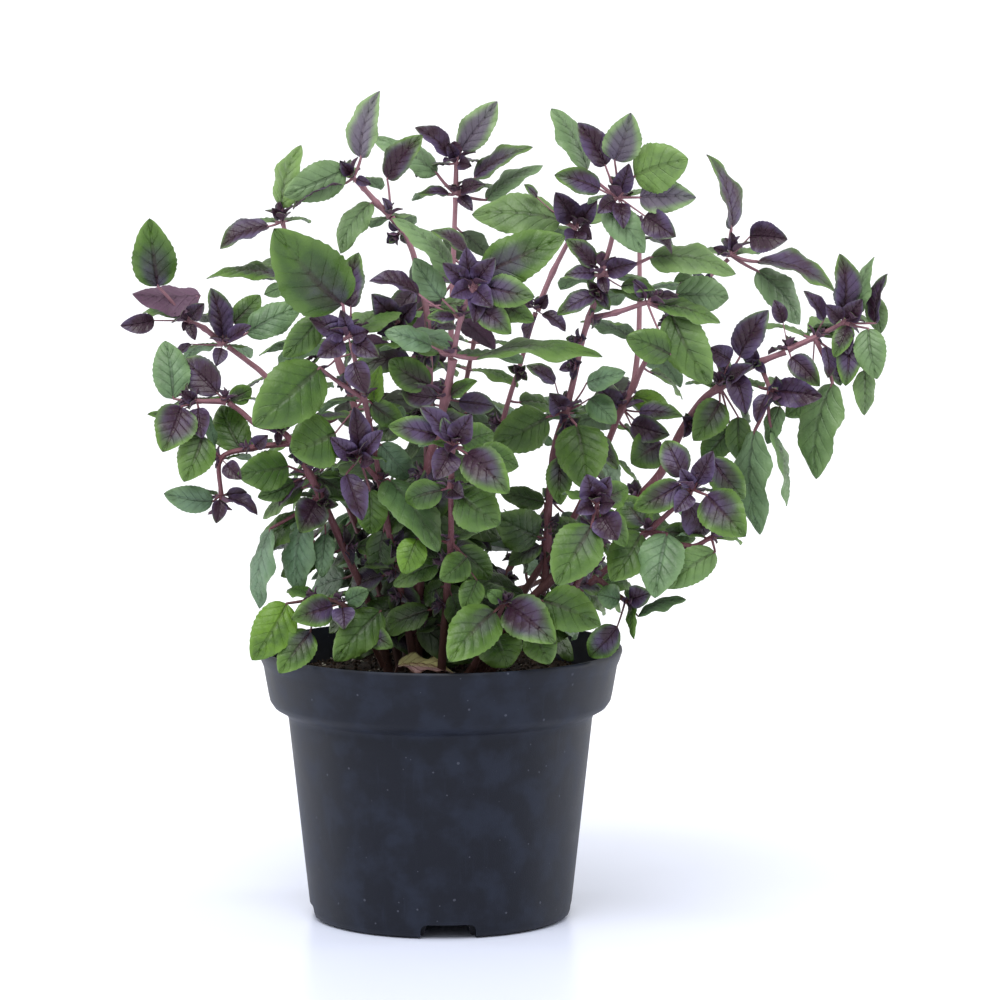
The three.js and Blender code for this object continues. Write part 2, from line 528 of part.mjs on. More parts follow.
      [-71, 190, 6, 24, 0, -0.05, -46, 212], [-57, 180, 12, 22, 0, 0, -40, 187],
      [-14, 190, -6, 10, 0, 0.2]]],
  ],
  shoot_high_left_inner: [
    [-5, 222, -11, []],
    [-16, 229, -25, [
      [-26, 240, 4, 10, 0, 0.8], [-9, 237, 4, 7, 0, 1], [-24, 225, 5, 7, 0, 1],
      [9, 217.5, 6, 9, 0, -0.3, -12, 225], [-16, 218, 6, 6, 0, 1]]],
  ],
  shoot_left: [
    [-82, 199, -30, [[-98, 215, -2, 14, 0, 0.8], [-72, 204, -4, 8, 0, 0.2]]],
    [-93, 199, -32, [
      [-105, 222.5, -2, 15, 0, -0.3, -102, 200], [-106, 180, 4, 17, 0, 0.5, -99, 197],
      [-112, 194, 2, 3, 0, 0.2, -105, 193], [-91, 184.5, 6, 9, 0, 1],
      [-86, 179, 0, 5, 0, -0.3], [-99, 203, 6, 5, 0, 1]]],
  ],
  shoot_left_hanging: [
    [-57, 183, -26, []],
    [-72, 181, -30, [[-84, 198, -2, 15, 0, 0.05, -76, 180], [-66, 186, 4, 6, 0, 0.9]]],
    [-84, 177, -32, [[-98, 168.5, 3, 15, 0, 0.05, -91, 186], [-76, 169, 2, 7, 0, 0.9, -82, 175]]],
    [-84, 163, -32, [
      [-106, 163.5, 3, 11, 0, -0.3, -87, 160.5], [-70, 155.5, 4, 5, 0, 1],
      [-74, 164, -3, 5, 0, 0.9], [-86, 152, 3, 6, 0, 0.9]]],
  ],
  leaves_left: [
    [-50, 171, -24, [
      [-77.5, 171, 3, 16, 0, 0, -58, 174], [-70, 162, 6, 9, 0, 0.1, -56, 168],
      [-34, 163, -6, 12, 0, 0.2], [-62, 159, 4, 5, 0, 1]]],
  ],
};

// Shoots that fill the plant's sides and back, grown by rule: opposite pairs, each pair turned
// a quarter from the one below, smaller and younger towards the tip.
// Each: [name, layout points of its axis, pairs of leaves, longest leaf, first pair's angle].
const GROWN_SHOOTS = [
  ['shoot_back_left', [[-38.5, 181, 78], [-47, 198, 84], [-53, 211, 87]], 3, 30, 10],
  ['shoot_back_centre', [[7, 191, 86], [11, 212, 90], [15, 232, 90]], 4, 30, 40],
  ['shoot_back_right', [[50.5, 173, 80], [60, 188, 86], [68, 202, 90]], 3, 30, 70],
  ['shoot_back_left_low', [[-18, 125, 40], [-34, 133, 54], [-50, 146, 64]], 3, 28, 30],
  ['shoot_back_centre_low', [[2, 130, 49], [4, 132, 67], [6, 144, 87]], 3, 28, 0],
  ['shoot_back_right_low', [[22, 125, 43], [40, 130, 57], [58, 142, 69]], 3, 28, 60],
  ['shoot_back_upper_left', [[-38, 212, 44], [-42, 226, 60], [-47, 246, 72]], 3, 26, 20],
  ['shoot_back_upper_right', [[74, 205, 29], [76, 226, 48], [76, 262, 62]], 3, 26, 50],
];

// ---- leaves ------------------------------------------------------------------------------
// Width of a blade along its length, as a share of its widest.
function ovate(share) {
  const { base, tip, scale } = OUTLINE;
  return scale * share ** base * (1 - share) ** tip;
}

// A leaf is { start, base, tip, width, face, youth }: its petiole runs from start to base, its
// blade from base to tip, and face is the way its upper side looks. Its sections are lozenges,
// or triangles on a small leaf, with their outer corners lifted by the fold.
function leafRings({ start, base, tip, width, face, youth }, extra) {
  const along = tip.clone().sub(base);
  const length = along.length();
  const side = along.clone().normalize().cross(face).normalize();
  const isSmall = length < SMALL_BLADE;
  const fold = THREE.MathUtils.degToRad(
    THREE.MathUtils.lerp(FOLD_OLD, FOLD_YOUNG, Math.max(0, youth)),
  );
  const section = (centre, half, lift, thick) => [
    centre.clone().addScaledVector(side, half).addScaledVector(face, lift),
    ...(isSmall ? [] : [centre.clone().addScaledVector(face, thick)]),
    centre.clone().addScaledVector(side, -half).addScaledVector(face, lift),
    centre.clone().addScaledVector(face, -thick),
  ];
  const stalk = PETIOLE_RADIUS + extra;
  const root = PETIOLE_ROOT_RADIUS + extra;
  const flatTop = isSmall ? stalk / 2 : 0;
  const rings = [section(start, root, flatTop, root), section(base, stalk, flatTop, stalk)];
  for (const share of isSmall ? SMALL_STATIONS : BLADE_STATIONS) {
    const rise = LEAF_ARCH * length * 4 * share * (1 - share);
    const centre = base.clone().addScaledVector(along, share).addScaledVector(face, rise);
    const half = (width / 2) * ovate(share) + EDGE_ROOM * extra;
    const lift = half * Math.sin(fold) + (isSmall ? extra : 0);
    rings.push(section(centre, half * Math.cos(fold), lift, LEAF_THICKNESS / 2 + extra));
  }
  return rings;
}

function leafSolid(leaf, extra = 0) {
  const pastTip = towards(leaf.tip, leaf.base, -extra);
  return loft(leafRings(leaf, extra), pastTip);
}

function petioleSolid(leaf, extra = 0) {
  return loft(leafRings(leaf, extra).slice(0, 2));
}

function faceAcross(along, wanted) {
  return wanted.clone().addScaledVector(along, -wanted.dot(along)).normalize();
}

function towards(from, to, distance) {
  return from.clone().addScaledVector(to.clone().sub(from).normalize(), distance);
}

// How far a blade's tip lies in front of its joint: at least as asked, and enough more that a
// blade which looks short for its width has its natural length.
function leanOf(asked, bladeLayout, width) {
  const needed = Math.sqrt(Math.max(0, (width / LEAF_PROPORTION) ** 2 - bladeLayout ** 2));
  return Math.sign(asked) * Math.max(Math.abs(asked), Math.min(needed, MOST_LEAN * bladeLayout));
}

// The way the upper side looks. A blade that looks narrow for its length is turned about its
// axis, so that its upper side looks up, or down where it is flipped.
function faceOf(base, tip, width, trueWidth, flip) {
  const along = tip.clone().sub(base).normalize();
  const front = faceAcross(along, LAYOUT_EYE.clone().sub(base));
  const turn = Math.acos(Math.min(1, width / trueWidth));
  const [up, down] = [turn, -turn]
    .map((angle) => front.clone().applyAxisAngle(along, angle))
    .sort((a, b) => b.z - a.z);
  if (flip === UNDERSIDE) return up.negate();
  return flip === FLIPPED ? down : up;
}

function laidOutLeaf([across, up, depth], startDistance, row) {
  const [tipAcross, tipUp, asked, width, flip, youth, ...ownBase] = row;
  const [baseAcross, baseUp] = ownBase.length === 2 ? ownBase : [
    THREE.MathUtils.lerp(across, tipAcross, PETIOLE_SHARE),
    THREE.MathUtils.lerp(up, tipUp, PETIOLE_SHARE),
  ];
  const stalk = Math.hypot(baseAcross - across, baseUp - up);
  const blade = Math.hypot(tipAcross - baseAcross, tipUp - baseUp);
  const lean = leanOf(asked, blade, width);
  const base = place([baseAcross, baseUp, depth - (lean * stalk) / (stalk + blade)]);
  const tip = place([tipAcross, tipUp, depth - lean]);
  const trueWidth = Math.max(width, LEAF_PROPORTION * base.distanceTo(tip));
  const face = faceOf(base, tip, width, trueWidth, flip);
  const start = towards(place([across, up, depth]), base, startDistance);
  return { start, base, tip, width: trueWidth, face, youth };
}

function laidOutShoot(joints) {
  const leavesOf = (joint, index) => {
    const startDistance = index === 0 ? STEM_JOINT_START : TWIG_JOINT_START;
    const leaves = joint[3].map((row) => laidOutLeaf(joint, startDistance, row));
    return leaves.filter(({ base, tip }) => base.distanceTo(tip) > BUD_LENGTH);
  };
  return { axis: joints.map((joint) => place(joint)), leaves: joints.flatMap(leavesOf) };
}

function grownLeaf(middle, out, along, length, youth) {
  const start = middle.clone().addScaledVector(out, TWIG_JOINT_START);
  const base = middle.clone().addScaledVector(out, length * PETIOLE_SHARE);
  const rise = GROWN.rise + GROWN.youngRise * Math.max(0, youth);
  const heading = out.clone().addScaledVector(along, rise);
  heading.z -= GROWN.droop * (1 - youth);
  const tip = base.clone().addScaledVector(heading.normalize(), length);
  const sky = new THREE.Vector3(0, 0, GROWN.skyward);
  const face = faceAcross(heading, sky.add(along));
  return { start, base, tip, width: length * LEAF_PROPORTION, face, youth };
}

function grownShoot(layout, pairs, longest, firstAngle) {
  const path = new THREE.CatmullRomCurve3(layout.map(place), false, 'centripetal');
  const axis = [path.getPointAt(0)];
  const leaves = [];
  for (let pair = 0; pair < pairs; pair += 1) {
    const share = (pair + 1) / pairs;
    const middle = path.getPointAt(share);
    const along = path.getTangentAt(share);
    axis.push(middle);
    const across = faceAcross(along, new THREE.Vector3(1, 0, 0));
    const length = longest * (1 - GROWN.shrink * pair);
    const youth = GROWN.oldestYouth + (GROWN.youthGain * pair) / pairs;
    for (const turn of [0, 180]) {
      const angle = THREE.MathUtils.degToRad(firstAngle + 90 * pair + turn);
      const out = across.clone().applyAxisAngle(along, angle);
      leaves.push(grownLeaf(middle, out, along, length, youth));
    }
  }
  return { axis, leaves };
}

// ---- putting the plant together ----------------------------------------------------------
// A shoot without its blades: the swelling on its stem, its twig and its petioles.
function shootBones({ axis, leaves }, extra = 0) {
  const swelling = new THREE.IcosahedronGeometry(STEM_JOINT + extra).translate(...axis[0]);
  const solids = [toSolid(swelling), ...leaves.map((leaf) => petioleSolid(leaf, extra))];
  if (axis.length > 1) {
    const past = towards(axis.at(-1), axis.at(-2), -TWIG_RADIUS);
    const twigPath = [...axis.slice(0, -1), past];
    solids.push(taperedStem(twigPath, TWIG_RADIUS, TWIG_RADIUS, extra, TWIG_SIDES));
  }
  return wasm.Manifold.union(solids);
}

function bladesOf({ leaves }, extra = 0) {
  return wasm.Manifold.union(leaves.map((leaf) => leafSolid(leaf, extra)));
}

function stemSolid([, [footX, footY], layout, baseRadius, tipRadius], extra = 0) {
  const foot = new THREE.Vector3(footX, footY, SOIL_TOP - ROOT_DEPTH);
  return taperedStem([foot, ...layout.map(place)], baseRadius, tipRadius, extra);
}

function boxesMeet(a, b) {
  return [0, 1, 2].every((i) => a.min[i] < b.max[i] && b.min[i] < a.max[i]);
}

// Cuts a solid back from every obstacle near it.
function clearOf(solid, obstacles) {
  const box = solid.boundingBox();
  const near = obstacles.filter((obstacle) => boxesMeet(box, obstacle.boundingBox()));
  return near.length === 0 ? solid : solid.subtract(wasm.Manifold.union(near));
}

// The room that the rim band takes, with the gap that leaves keep to it.
function rimClearance() {
  const outline = [
    [NECK_RADIUS - 1, BAND_BOTTOM - 8],
    [LIP_RADIUS + 2 * GAP, BAND_BOTTOM - 8],
    [LIP_RADIUS + 2 * GAP, POT_HEIGHT + GAP],
    [LIP_RADIUS - POT_WALL - 2 * GAP, POT_HEIGHT + GAP],
    [BAND_LOW_RADIUS - POT_WALL - GAP, BAND_BOTTOM + 2],
    [NECK_RADIUS - 1, BAND_BOTTOM - 2],
  ];
  return lathed([...outline, outline[0]], POT_SEGMENTS);
}

// The room that the soil takes, which blades lie on.
function soilClearance() {
  const top = SOIL_TOP + GAP;
  return lathed([[0, 0], [BAND_LOW_RADIUS, 0], [BAND_LOW_RADIUS, top], [0, top]], SOIL_SEGMENTS);
}

const plant = new THREE.Group();

function addMesh(name, solid, finish) {
  const material = new THREE.MeshStandardMaterial({ ...finish, side: THREE.DoubleSide });
  const mesh = new THREE.Mesh(toGeometry(solid), material);
  mesh.name = name;
  plant.add(mesh);
}

const rim = rimClearance();
const soilRoom = soilClearance();
const stemRooms = [];
for (const stem of STEMS) {
  addMesh(stem[0], mainPiece(clearOf(stemSolid(stem), [rim, ...stemRooms])), bark);
  stemRooms.push(stemSolid(stem, GAP));
}

const shoots = Object.entries(SHOOTS).map(([name, joints]) => [name, laidOutShoot(joints)]);
for (const [name, layout, pairs, longest, firstAngle] of GROWN_SHOOTS) {
  shoots.push([name, grownShoot(layout, pairs, longest, firstAngle)]);
}

// Where shoots cross, a blade makes way for every other shoot's twigs and petioles and for the
// blades of the shoots before it, and a twig makes way only for the twigs before it.
const boneRooms = shoots.map(([, shoot]) => shootBones(shoot, GAP));
const bladeRooms = shoots.map(([, shoot]) => bladesOf(shoot, GAP));
shoots.forEach(([name, shoot], index) => {
  const inTheWay = [soilRoom, ...bladeRooms.slice(0, index), ...boneRooms.slice(index + 1)];
  const whole = clearOf(bladesOf(shoot), inTheWay).add(shootBones(shoot));
  const earlier = [rim, ...stemRooms, ...boneRooms.slice(0, index)];
  addMesh(name, mainPiece(clearOf(whole, earlier)), foliage);
});

addMesh('pot', makePot(), plastic);
addMesh('potting_mix', mainPiece(clearOf(makeSoil(), [...stemRooms, ...boneRooms])), compost);

export default plant;
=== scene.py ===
"""Potted purple basil plant: the visible plant, pot and mix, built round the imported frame.

Everything is in metres, +Z up, with the origin at the centre of the pot's underside. The plant's
front faces -Y. Stems and leaves are laid out in millimetres on an upright sheet through the pot's
axis, as it is seen from EYE. A layout point is (across, up, depth): across and up lie on the
sheet, and depth moves the point away from the eye along its line of sight.
"""

import math
import random
from collections import namedtuple

import bpy
from bpy.props import FloatProperty, FloatVectorProperty, IntProperty, PointerProperty
from mathutils import Matrix, Vector


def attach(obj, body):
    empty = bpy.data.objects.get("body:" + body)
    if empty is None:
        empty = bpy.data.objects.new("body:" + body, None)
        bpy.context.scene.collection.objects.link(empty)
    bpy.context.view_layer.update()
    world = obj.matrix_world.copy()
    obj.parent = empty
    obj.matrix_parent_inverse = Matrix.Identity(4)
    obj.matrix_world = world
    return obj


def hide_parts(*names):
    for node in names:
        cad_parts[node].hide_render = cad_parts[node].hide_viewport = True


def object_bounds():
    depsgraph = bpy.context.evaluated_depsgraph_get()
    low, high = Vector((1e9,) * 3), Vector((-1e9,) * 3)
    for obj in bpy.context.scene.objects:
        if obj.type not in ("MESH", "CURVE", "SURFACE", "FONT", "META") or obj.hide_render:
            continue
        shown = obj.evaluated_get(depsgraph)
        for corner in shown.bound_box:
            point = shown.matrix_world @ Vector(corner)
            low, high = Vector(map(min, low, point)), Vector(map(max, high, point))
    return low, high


bl_info = {
    "name": "Potted purple basil",
    "version": (1, 0, 0),
    "blender": (4, 5, 0),
    "location": "3D View > Sidebar > Basil",
    "description": "Builds a potted purple basil plant round its packed frame",
    "category": "Object",
}

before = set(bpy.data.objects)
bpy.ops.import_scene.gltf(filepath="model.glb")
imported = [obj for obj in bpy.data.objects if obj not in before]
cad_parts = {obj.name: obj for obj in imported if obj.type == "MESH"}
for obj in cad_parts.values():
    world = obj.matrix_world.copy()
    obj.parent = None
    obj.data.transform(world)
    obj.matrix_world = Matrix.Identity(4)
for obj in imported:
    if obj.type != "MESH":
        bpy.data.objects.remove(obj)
CAD_BOX = [list(corner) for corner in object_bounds()]

MM = 0.001
EYE = Vector((22.9, -1985.5, 401.3)) * MM
BODY = "root"

# ---- layout ------------------------------------------------------------------------------
# Each stem: [name, foot [x, y] at the mix, layout points up to its end, base and tip radius].
STEMS = [
    ["stem_far_left", [-14, 2], [[-19, 112, 4], [-28, 140, 6], [-40, 170, 8], [-53, 194, 11],
      [-67, 209, 12], [-73, 214, 12], [-81, 220, 12]], 1.6, 0.94],
    ["stem_left", [-18, -8], [[-25, 115, -12], [-36, 140, -19], [-46, 163, -23], [-54, 178, -26],
      [-60, 187, -27], [-70, 190, -29], [-76, 195, -29], [-81, 198.5, -30]], 1.6, 0.85],
    ["stem_upper_left", [-10, 12], [[-14, 130, 23], [-24, 170, 34], [-38, 212, 44],
      [-48, 238, 49], [-51, 244, 50]], 1.6, 1.02],
    ["stem_left_front", [-8, -12], [[-14, 120, -21], [-20, 150, -32], [-25, 180, -41],
      [-29, 200, -48], [-34, 221, -54]], 1.44, 0.85],
    ["stem_high_left", [-4, 8], [[-5, 130, 4], [-5, 170, -2], [-4, 205, -7], [-5, 232, -12],
      [-9, 251, -16], [-12, 260, -18], [-18.5, 269.5, -20]], 1.6, 0.94],
    ["stem_top", [3, 14], [[4, 130, 22], [4, 170, 31], [4, 215, 39], [5, 250, 43],
      [6, 277, 44]], 1.44, 0.85],
    ["stem_centre_front", [-9, -10], [[-9, 112, -16], [-8, 132, -24], [-6, 155, -33],
      [-5, 172, -41], [-1, 188, -48], [2, 200, -53], [5, 215, -58]], 2, 1.36],
    ["stem_centre_right", [6, 8], [[12, 125, 14], [18, 160, 19], [23, 187, 21], [27, 202, 21],
      [30, 211, 21], [34, 225, 21], [36.5, 233, 20]], 1.28, 0.85],
    ["stem_top_right", [12, 0], [[30, 112, -5], [39, 125, -9], [41, 145, -13], [42, 165, -16],
      [44, 182, -18], [48, 195, -21], [51, 207, -23], [55, 225, -26], [60, 240, -29],
      [61.5, 248, -30], [65, 259, -32], [68, 274, -34]], 1.6, 0.85],
    ["stem_upper_right", [14, 7], [[32, 125, 15], [50, 152, 21], [62, 178, 25], [69, 195, 27],
      [74, 205, 29], [80, 217, 29], [94, 237, 31], [104, 248, 32], [110, 253.5, 32]], 1.52, 0.77],
    ["stem_right", [9, -9], [[30, 117, -10], [56, 143, -11], [80, 166, -11], [87, 176, -11],
      [92, 187, -10], [100, 199, -9], [107, 204.5, -9], [115, 210, -8], [122, 214, -8],
      [132, 218, -8]], 1.9, 1],
    ["stem_lower_right", [12, -14], [[35, 112, -28], [60, 131, -42], [80, 149, -52],
      [96, 164, -58]], 1.44, 0.85],
    ["stem_right_front", [5, -16], [[22, 108, -28], [40, 120, -43], [51, 127, -51],
      [57, 137, -58], [61, 146, -64], [60, 158, -70]], 1.28, 0.77],
    ["stem_centre_low", [0, -17], [[2, 120, -33], [4, 145, -51], [4, 164, -66]], 1.28, 0.94],
    ["stem_back_left", [-12, 18], [[-18, 125, 40], [-28, 155, 61], [-38, 180, 78]], 1.44, 0.94],
    ["stem_back_centre", [0, 22], [[2, 130, 49], [4, 165, 73], [7, 190, 86]], 1.44, 0.94],
    ["stem_back_right", [12, 18], [[22, 125, 43], [36, 150, 65], [50, 172, 80]], 1.44, 0.94],
]

# Each shoot: its joints from the stem outwards, [across, up, depth, leaves]. A leaf is
# [tip across, tip up, nearer, width, flip, youth, base across, base up]: nearer is the least
# that its tip lies in front of the joint, width is as seen from the eye, flip says which side
# shows, and youth runs from 0 or less, full grown, to 1, a folded young leaf. Without a base
# the blade starts PETIOLE_SHARE of the way to its tip.
# A youth below 0 brings in painted light: the painted sage sheen, full at -0.3, and the painted
# backlit lime, which starts at -0.42 and is full at -0.75.
SHOOTS = {
    "shoot_far_left": [
      [-83, 221, 12, [
        [-87.5, 242.5, 3, 10, 0, 0.8, -83, 224], [-85.5, 212.5, 6, 6, 0, 0.9],
        [-72, 228, 4, 5, 0, 1], [-68.5, 240, -8, 10, 0, 0.2, -79, 229],
        [-53, 236, -6, 13, 0, -0.4, -74, 225], [-101, 213.5, -3, 3, 0, 1, -95, 221]]],
      [-90, 227, 10, []],
      [-96.5, 230, 9, [
        [-110.5, 268.5, 4, 18, 0, 0.3, -107.5, 243], [-117.5, 239.5, 6, 12, 2, 0.75, -91.5, 239.5],
        [-122, 228, 6, 8, 0, 1, -109, 230], [-90, 236.5, 4, 7, 0, 0.9],
        [-98, 226, 3, 3.5, 0, 1], [-93.5, 222.5, 4, 4.5, 0, 0.9]]],
    ],
    "shoot_upper_left": [
      [-52, 246, 50, [
        [-89, 247, 4, 7, 0, 0.2, -60, 246.5], [-67, 240, 8, 6, 0, -0.5, -60, 243]]],
      [-57, 257, 50, []],
      [-60, 268, 48, [
        [-84, 258, 4, 8, 0, 0.8, -65, 266], [-53, 297, 2, 11, 0, -0.75, -60, 273],
        [-64, 273, 4, 4, 0, 1]]],
    ],
    "shoot_high_left": [
      [-19, 270, -20, [
        [-39, 256.5, 4, 10, 0, -0.15, -26, 275], [-7, 301, 4, 11, 0, 0.6, -20, 284],
        [-22, 277, 3, 3, 0, 1]]],
      [-24, 275, -21, []],
      [-29, 280.5, -22, []],
      [-33, 284.5, -22, [
        [-23, 317.5, 2, 12.5, 0, 0.4, -30, 292], [-59, 278, 2, 15.5, 0, -0.2, -36, 287.5],
        [-56, 272.5, 9, 4, 0, 0.8, -37, 282],
        [-26, 282, 4, 4, 0, 1], [-38, 291, 3, 5, 0, 0.9]]],
    ],
    "shoot_top": [
      [6, 278.5, 44, [
        [-8, 278.5, 2, 4, 0, 0.6], [35.5, 296, 2, 8, 0, 0.5, 13, 284],
        [38, 291, -5, 7.5, 0, -0.3, 17.5, 276], [17, 282, 8, 6, 0, 0.8],
        [12.5, 272, 6, 5, 0, 0.9], [-25, 301, -4, 11, 0, -0.3, -1, 286]]],
      [6.3, 290.5, 43, [
        [22, 313.5, 2, 13, 0, 0.4, 8, 295], [-9.5, 303.5, 3, 8, 0, 0.95],
        [3, 298, 5, 5, 0, 1], [12, 289, 6, 6, 0, 1]]],
    ],
    "shoot_centre": [
      [5, 217, -58, [
        [62, 217, 8, 5.5, 0, 0.1, 14, 215.5], [-21, 226, 6, 9, 0, -0.3, -3, 220]]],
      [8, 231, -61, [
        [-10, 254, -4, 11, 0, -0.3, 1, 238], [-27, 245, 3, 6, 0, 1, -8, 240],
        [-5, 231, 4, 5, 0, 0.6]]],
      [12.5, 243, -63, [
        [48, 262, 3, 19, 0, 0.3, 16, 247.5], [36, 239, 10, 13, 0, 0.4, 18, 243],
        [-3, 265, -2, 6, 0, 0.6, 10, 256], [-16.5, 271, -6, 9, 0, -0.2, 4, 249],
        [20, 235, 10, 9, 0, 1], [4, 239, 10, 8, 0, 1], [27, 225, 8, 11, 0, 0.5, 15, 235],
        [36, 230, 6, 9, 0, 0.2, 19, 237],
        [1, 252, 7, 8, 0, 1], [13, 229, 9, 7, 0, 1],
        [10, 258, 5, 8, 0, 1], [21, 254, 6, 9, 0, 0.95]]],
    ],
    "leaves_centre": [
      [2, 200, -53, [
        [21, 197, -6, 9, 0, 0.8, 7, 199], [-15, 203, -4, 10, 0, 0.7], [14, 207, 6, 6, 0, 0.3],
        [-20, 215, -8, 13, 0, 0.3, -4, 205]]],
    ],
    "shoot_centre_right": [
      [37, 234, 20, [
        [48, 226, 3, 5, 0, 1], [41, 240, 3, 5, 0, 1], [33, 221, 3, 4, 0, 1],
        [28, 240, -3, 5, 0, 0.9]]],
      [43, 248.5, 19, []],
      [52, 266, 17, [
        [44, 279, 4, 11, 0, 1], [50, 257, 8, 9, 0, 1], [60, 276, 4, 8, 0, 1],
        [12.5, 272, 2, 17, 0, 0, 46, 268], [58, 261, 6, 7, 0, 1],
        [32, 282, 2, 3, 0, 0.5, 37, 277]]],
    ],
    "shoot_top_right": [
      [68, 277, -34, [
        [42, 310.5, -4, 9, 0, -0.2, 56, 287], [52.5, 305.5, 2, 11, 0, 0.9, 63, 289],
        [72.5, 309, 2, 15, 0, 0.35, 66.5, 291], [43.5, 285.5, 3, 10, 0, 0.6, 61, 280],
        [94, 291.5, 2, 20, 0, -0.9, 74, 285], [97, 277, 6, 14, 0, 0.4, 76, 277],
        [72, 290, 8, 8, 0, 1], [70, 265, 10, 7, 0, 1], [90, 262, 6, 11, 0, 0.85, 78, 270],
        [78, 256, 8, 13, 0, -0.4, 63, 273], [88.5, 255.5, 3, 4, 0, 1, 79, 264],
        [60, 271, 8, 7, 0, 1]]],
    ],
    "leaves_top_right": [
      [61.5, 248, -30, [
        [75, 252, 4, 8, 0, 1], [47.5, 247.5, 3, 6, 0, 0.7], [44.5, 232.5, 4, 8, 0, 0.6, 59, 240],
        [48, 261, -2, 8, 0, 0.6], [82, 242, 4, 6, 0, 0.1, 69, 243],
        [113, 249.5, 6, 12, 0, 0, 80, 254], [64, 240, 6, 5, 0, 1]]],
    ],
    "shoot_inner_right": [
      [57.5, 231, -27, []],
      [67, 233, -30, []],
      [79, 237, -33, [
        [107, 229, 3, 7, 0, 0.1, 83, 236], [91, 239, 3, 3, 0, 1],
        [111, 238.5, -6, 15, 0, -0.5, 90, 240], [103.5, 205.5, 8, 18, 0, 0, 88, 233],
        [71.5, 223.5, 6, 14, 0, 0.1, 88, 217], [74, 246, 2, 5, 0, 0.9]]],
    ],
    "shoot_upper_right": [
      [111, 255, 32, [
        [102, 293.5, 2, 8, 0, 0.6, 111, 265], [132.5, 261, 4, 13, 0, 1, 118, 262],
        [151, 242.5, 5, 8, 0, 0.6, 121, 252.5], [138.5, 229, -4, 13, 0, -0.4, 121, 249],
        [111, 264, 3, 4, 0, 1], [104, 258, 4, 4, 0, 1]]],
    ],
    "leaves_upper_right": [
      [70, 196, 28, [
        [88, 195.5, -4, 10, 0, -0.8, 74, 201], [93, 193.5, 4, 8, 0, 0.5, 76, 195],
        [88, 186, 4, 11, 0, 0.7, 73, 190], [60, 205, 2, 9, 0, 0.9],
        [73, 175, 6, 16, 0, 0.4, 84.5, 183]]],
    ],
    "shoot_right": [
      [133, 219, -8, [
        [145, 205, 4, 10, 0, 0.6, 134, 216], [127.5, 238, -2, 6, 0, 0.9, 131, 229]]],
      [143, 223.5, -9, [
        [139, 241.5, 2, 5.5, 0, 0.9, 146.5, 230], [148.5, 208, 4, 6, 0, 0.9, 147, 220],
        [153, 205, -4, 7.5, 0, 0.6, 150.5, 218],
        [142, 169.5, 6, 16, 0, -0.15, 150, 206], [132, 193, -4, 9, 0, 0, 141, 200]]],
      [154, 229, -10, [
        [153, 255.5, 2, 11, 0, 0.7], [165, 254.5, -2, 7, 0, -0.2, 160, 233],
        [170.5, 248, 2, 6, 0, 0.8, 166.5, 229], [167, 207.5, 4, 13, 0, -0.2, 163.5, 227],
        [163, 193.5, 2, 9, 0, -0.1, 162, 211], [161, 238, 6, 8, 0, 1],
        [155, 205, 7, 10, 0, 0.5, 156, 222],
        [147, 236, 6, 7, 0, 1], [156, 217, 7, 7, 0, 1],
        [150.5, 216, 8, 8, 0, 0.42, 156, 228], [168.5, 225, -4, 9, 0, -0.1, 165, 239]]],
    ],
    "leaves_right": [
      [107, 204.5, -9, [
        [125, 234, 8, 12, 0, 0.75, 114.5, 216], [103, 219.5, 4, 9, 0, 1, 111, 215],
        [117, 194, 7, 10, 0, 0.9, 112, 210], [120, 213, 6, 6, 0, 0.9],
        [97, 184, 10, 14, 0, 0.3, 107, 199], [100, 176, -7, 12, 0, 0.1, 111, 189],
        [116, 175, -6, 11, 0, 0, 114, 193]]],
    ],
    "shoot_right_hanging": [
      [122, 214, -8, []],
      [126, 204, -12, [
        [146, 201, 5, 12, 0, 1, 129, 203], [121, 191, 4, 6, 0, 1],
        [124.5, 182.5, -4, 8, 0, -0.5, 130, 197], [120.5, 147.5, 4, 14, 0, -0.25, 120.5, 188],
        [132, 158.5, -6, 3, 0, -0.2, 127, 188]]],
    ],
    "shoot_lower_right": [
      [97, 165, -58, [
        [104.5, 180, 4, 9, 0, 1], [74, 157.5, 4, 12, 0, 0.4, 92, 167],
        [90, 156, 6, 8, 0, 1], [117, 147, 4, 18, 0, 0.4, 102, 163],
        [117, 161, -6, 13, 0, 0.4, 104, 177], [102, 147, -4, 13, 0, 0.9, 95, 160],
        [92, 173, 4, 6, 0, 1], [86, 184, -9, 12, 0, 0.6, 93, 170]]],
    ],
    "leaves_lower_right": [
      [80, 149, -52, [
        [82.5, 123.5, 6, 18, 0, -0.3, 87, 148], [66, 130, 4, 17, 0, 0, 77, 148],
        [69, 162, -4, 13, 0, 0.2], [98, 146, -8, 9, 0, 0.2, 86, 149]]],
      [95, 143, -54, []],
      [104, 146.5, -56, [[86, 127, 0, 14, 0, -0.6, 105.5, 141]]],
    ],
    "shoot_low_right": [
      [60, 131, -42, []],
      [71, 122, -50, [
        [94, 123.5, 0, 4, 0, -0.3, 76, 116], [74, 107, 2, 4, 0, 0, 74, 120],
        [81, 125, 4, 9, 0, 0.7],
        [57, 100, -3, 12, 0, 0.5, 68, 112], [60, 124.5, 2, 10, 0, -0.2]]],
    ],
    "shoot_right_front": [
      [60, 160, -70, [
        [56, 171, 3, 11, 0, 1], [65, 170, 3, 8, 0, 1], [67, 160, 6, 8, 0, 1],
        [68, 145.5, 6, 12, 0, 1, 62, 155], [52, 156, 6, 7, 0, 1],
        [45, 129, 4, 20, 0, 0.1, 58, 151], [72, 143, -3, 9, 0, 0.3], [72, 166, -6, 11, 0, 0.2]]],
    ],
    "leaves_top_right_low": [
      [48, 195, -21, [
        [56, 166, 20, 21, 0, 0, 52, 190], [20.5, 182, 20, 18, 0, 0, 41, 193],
        [42, 202, 10, 9, 0, 0.9], [71, 210, 16, 9, 0, -0.3, 56, 206],
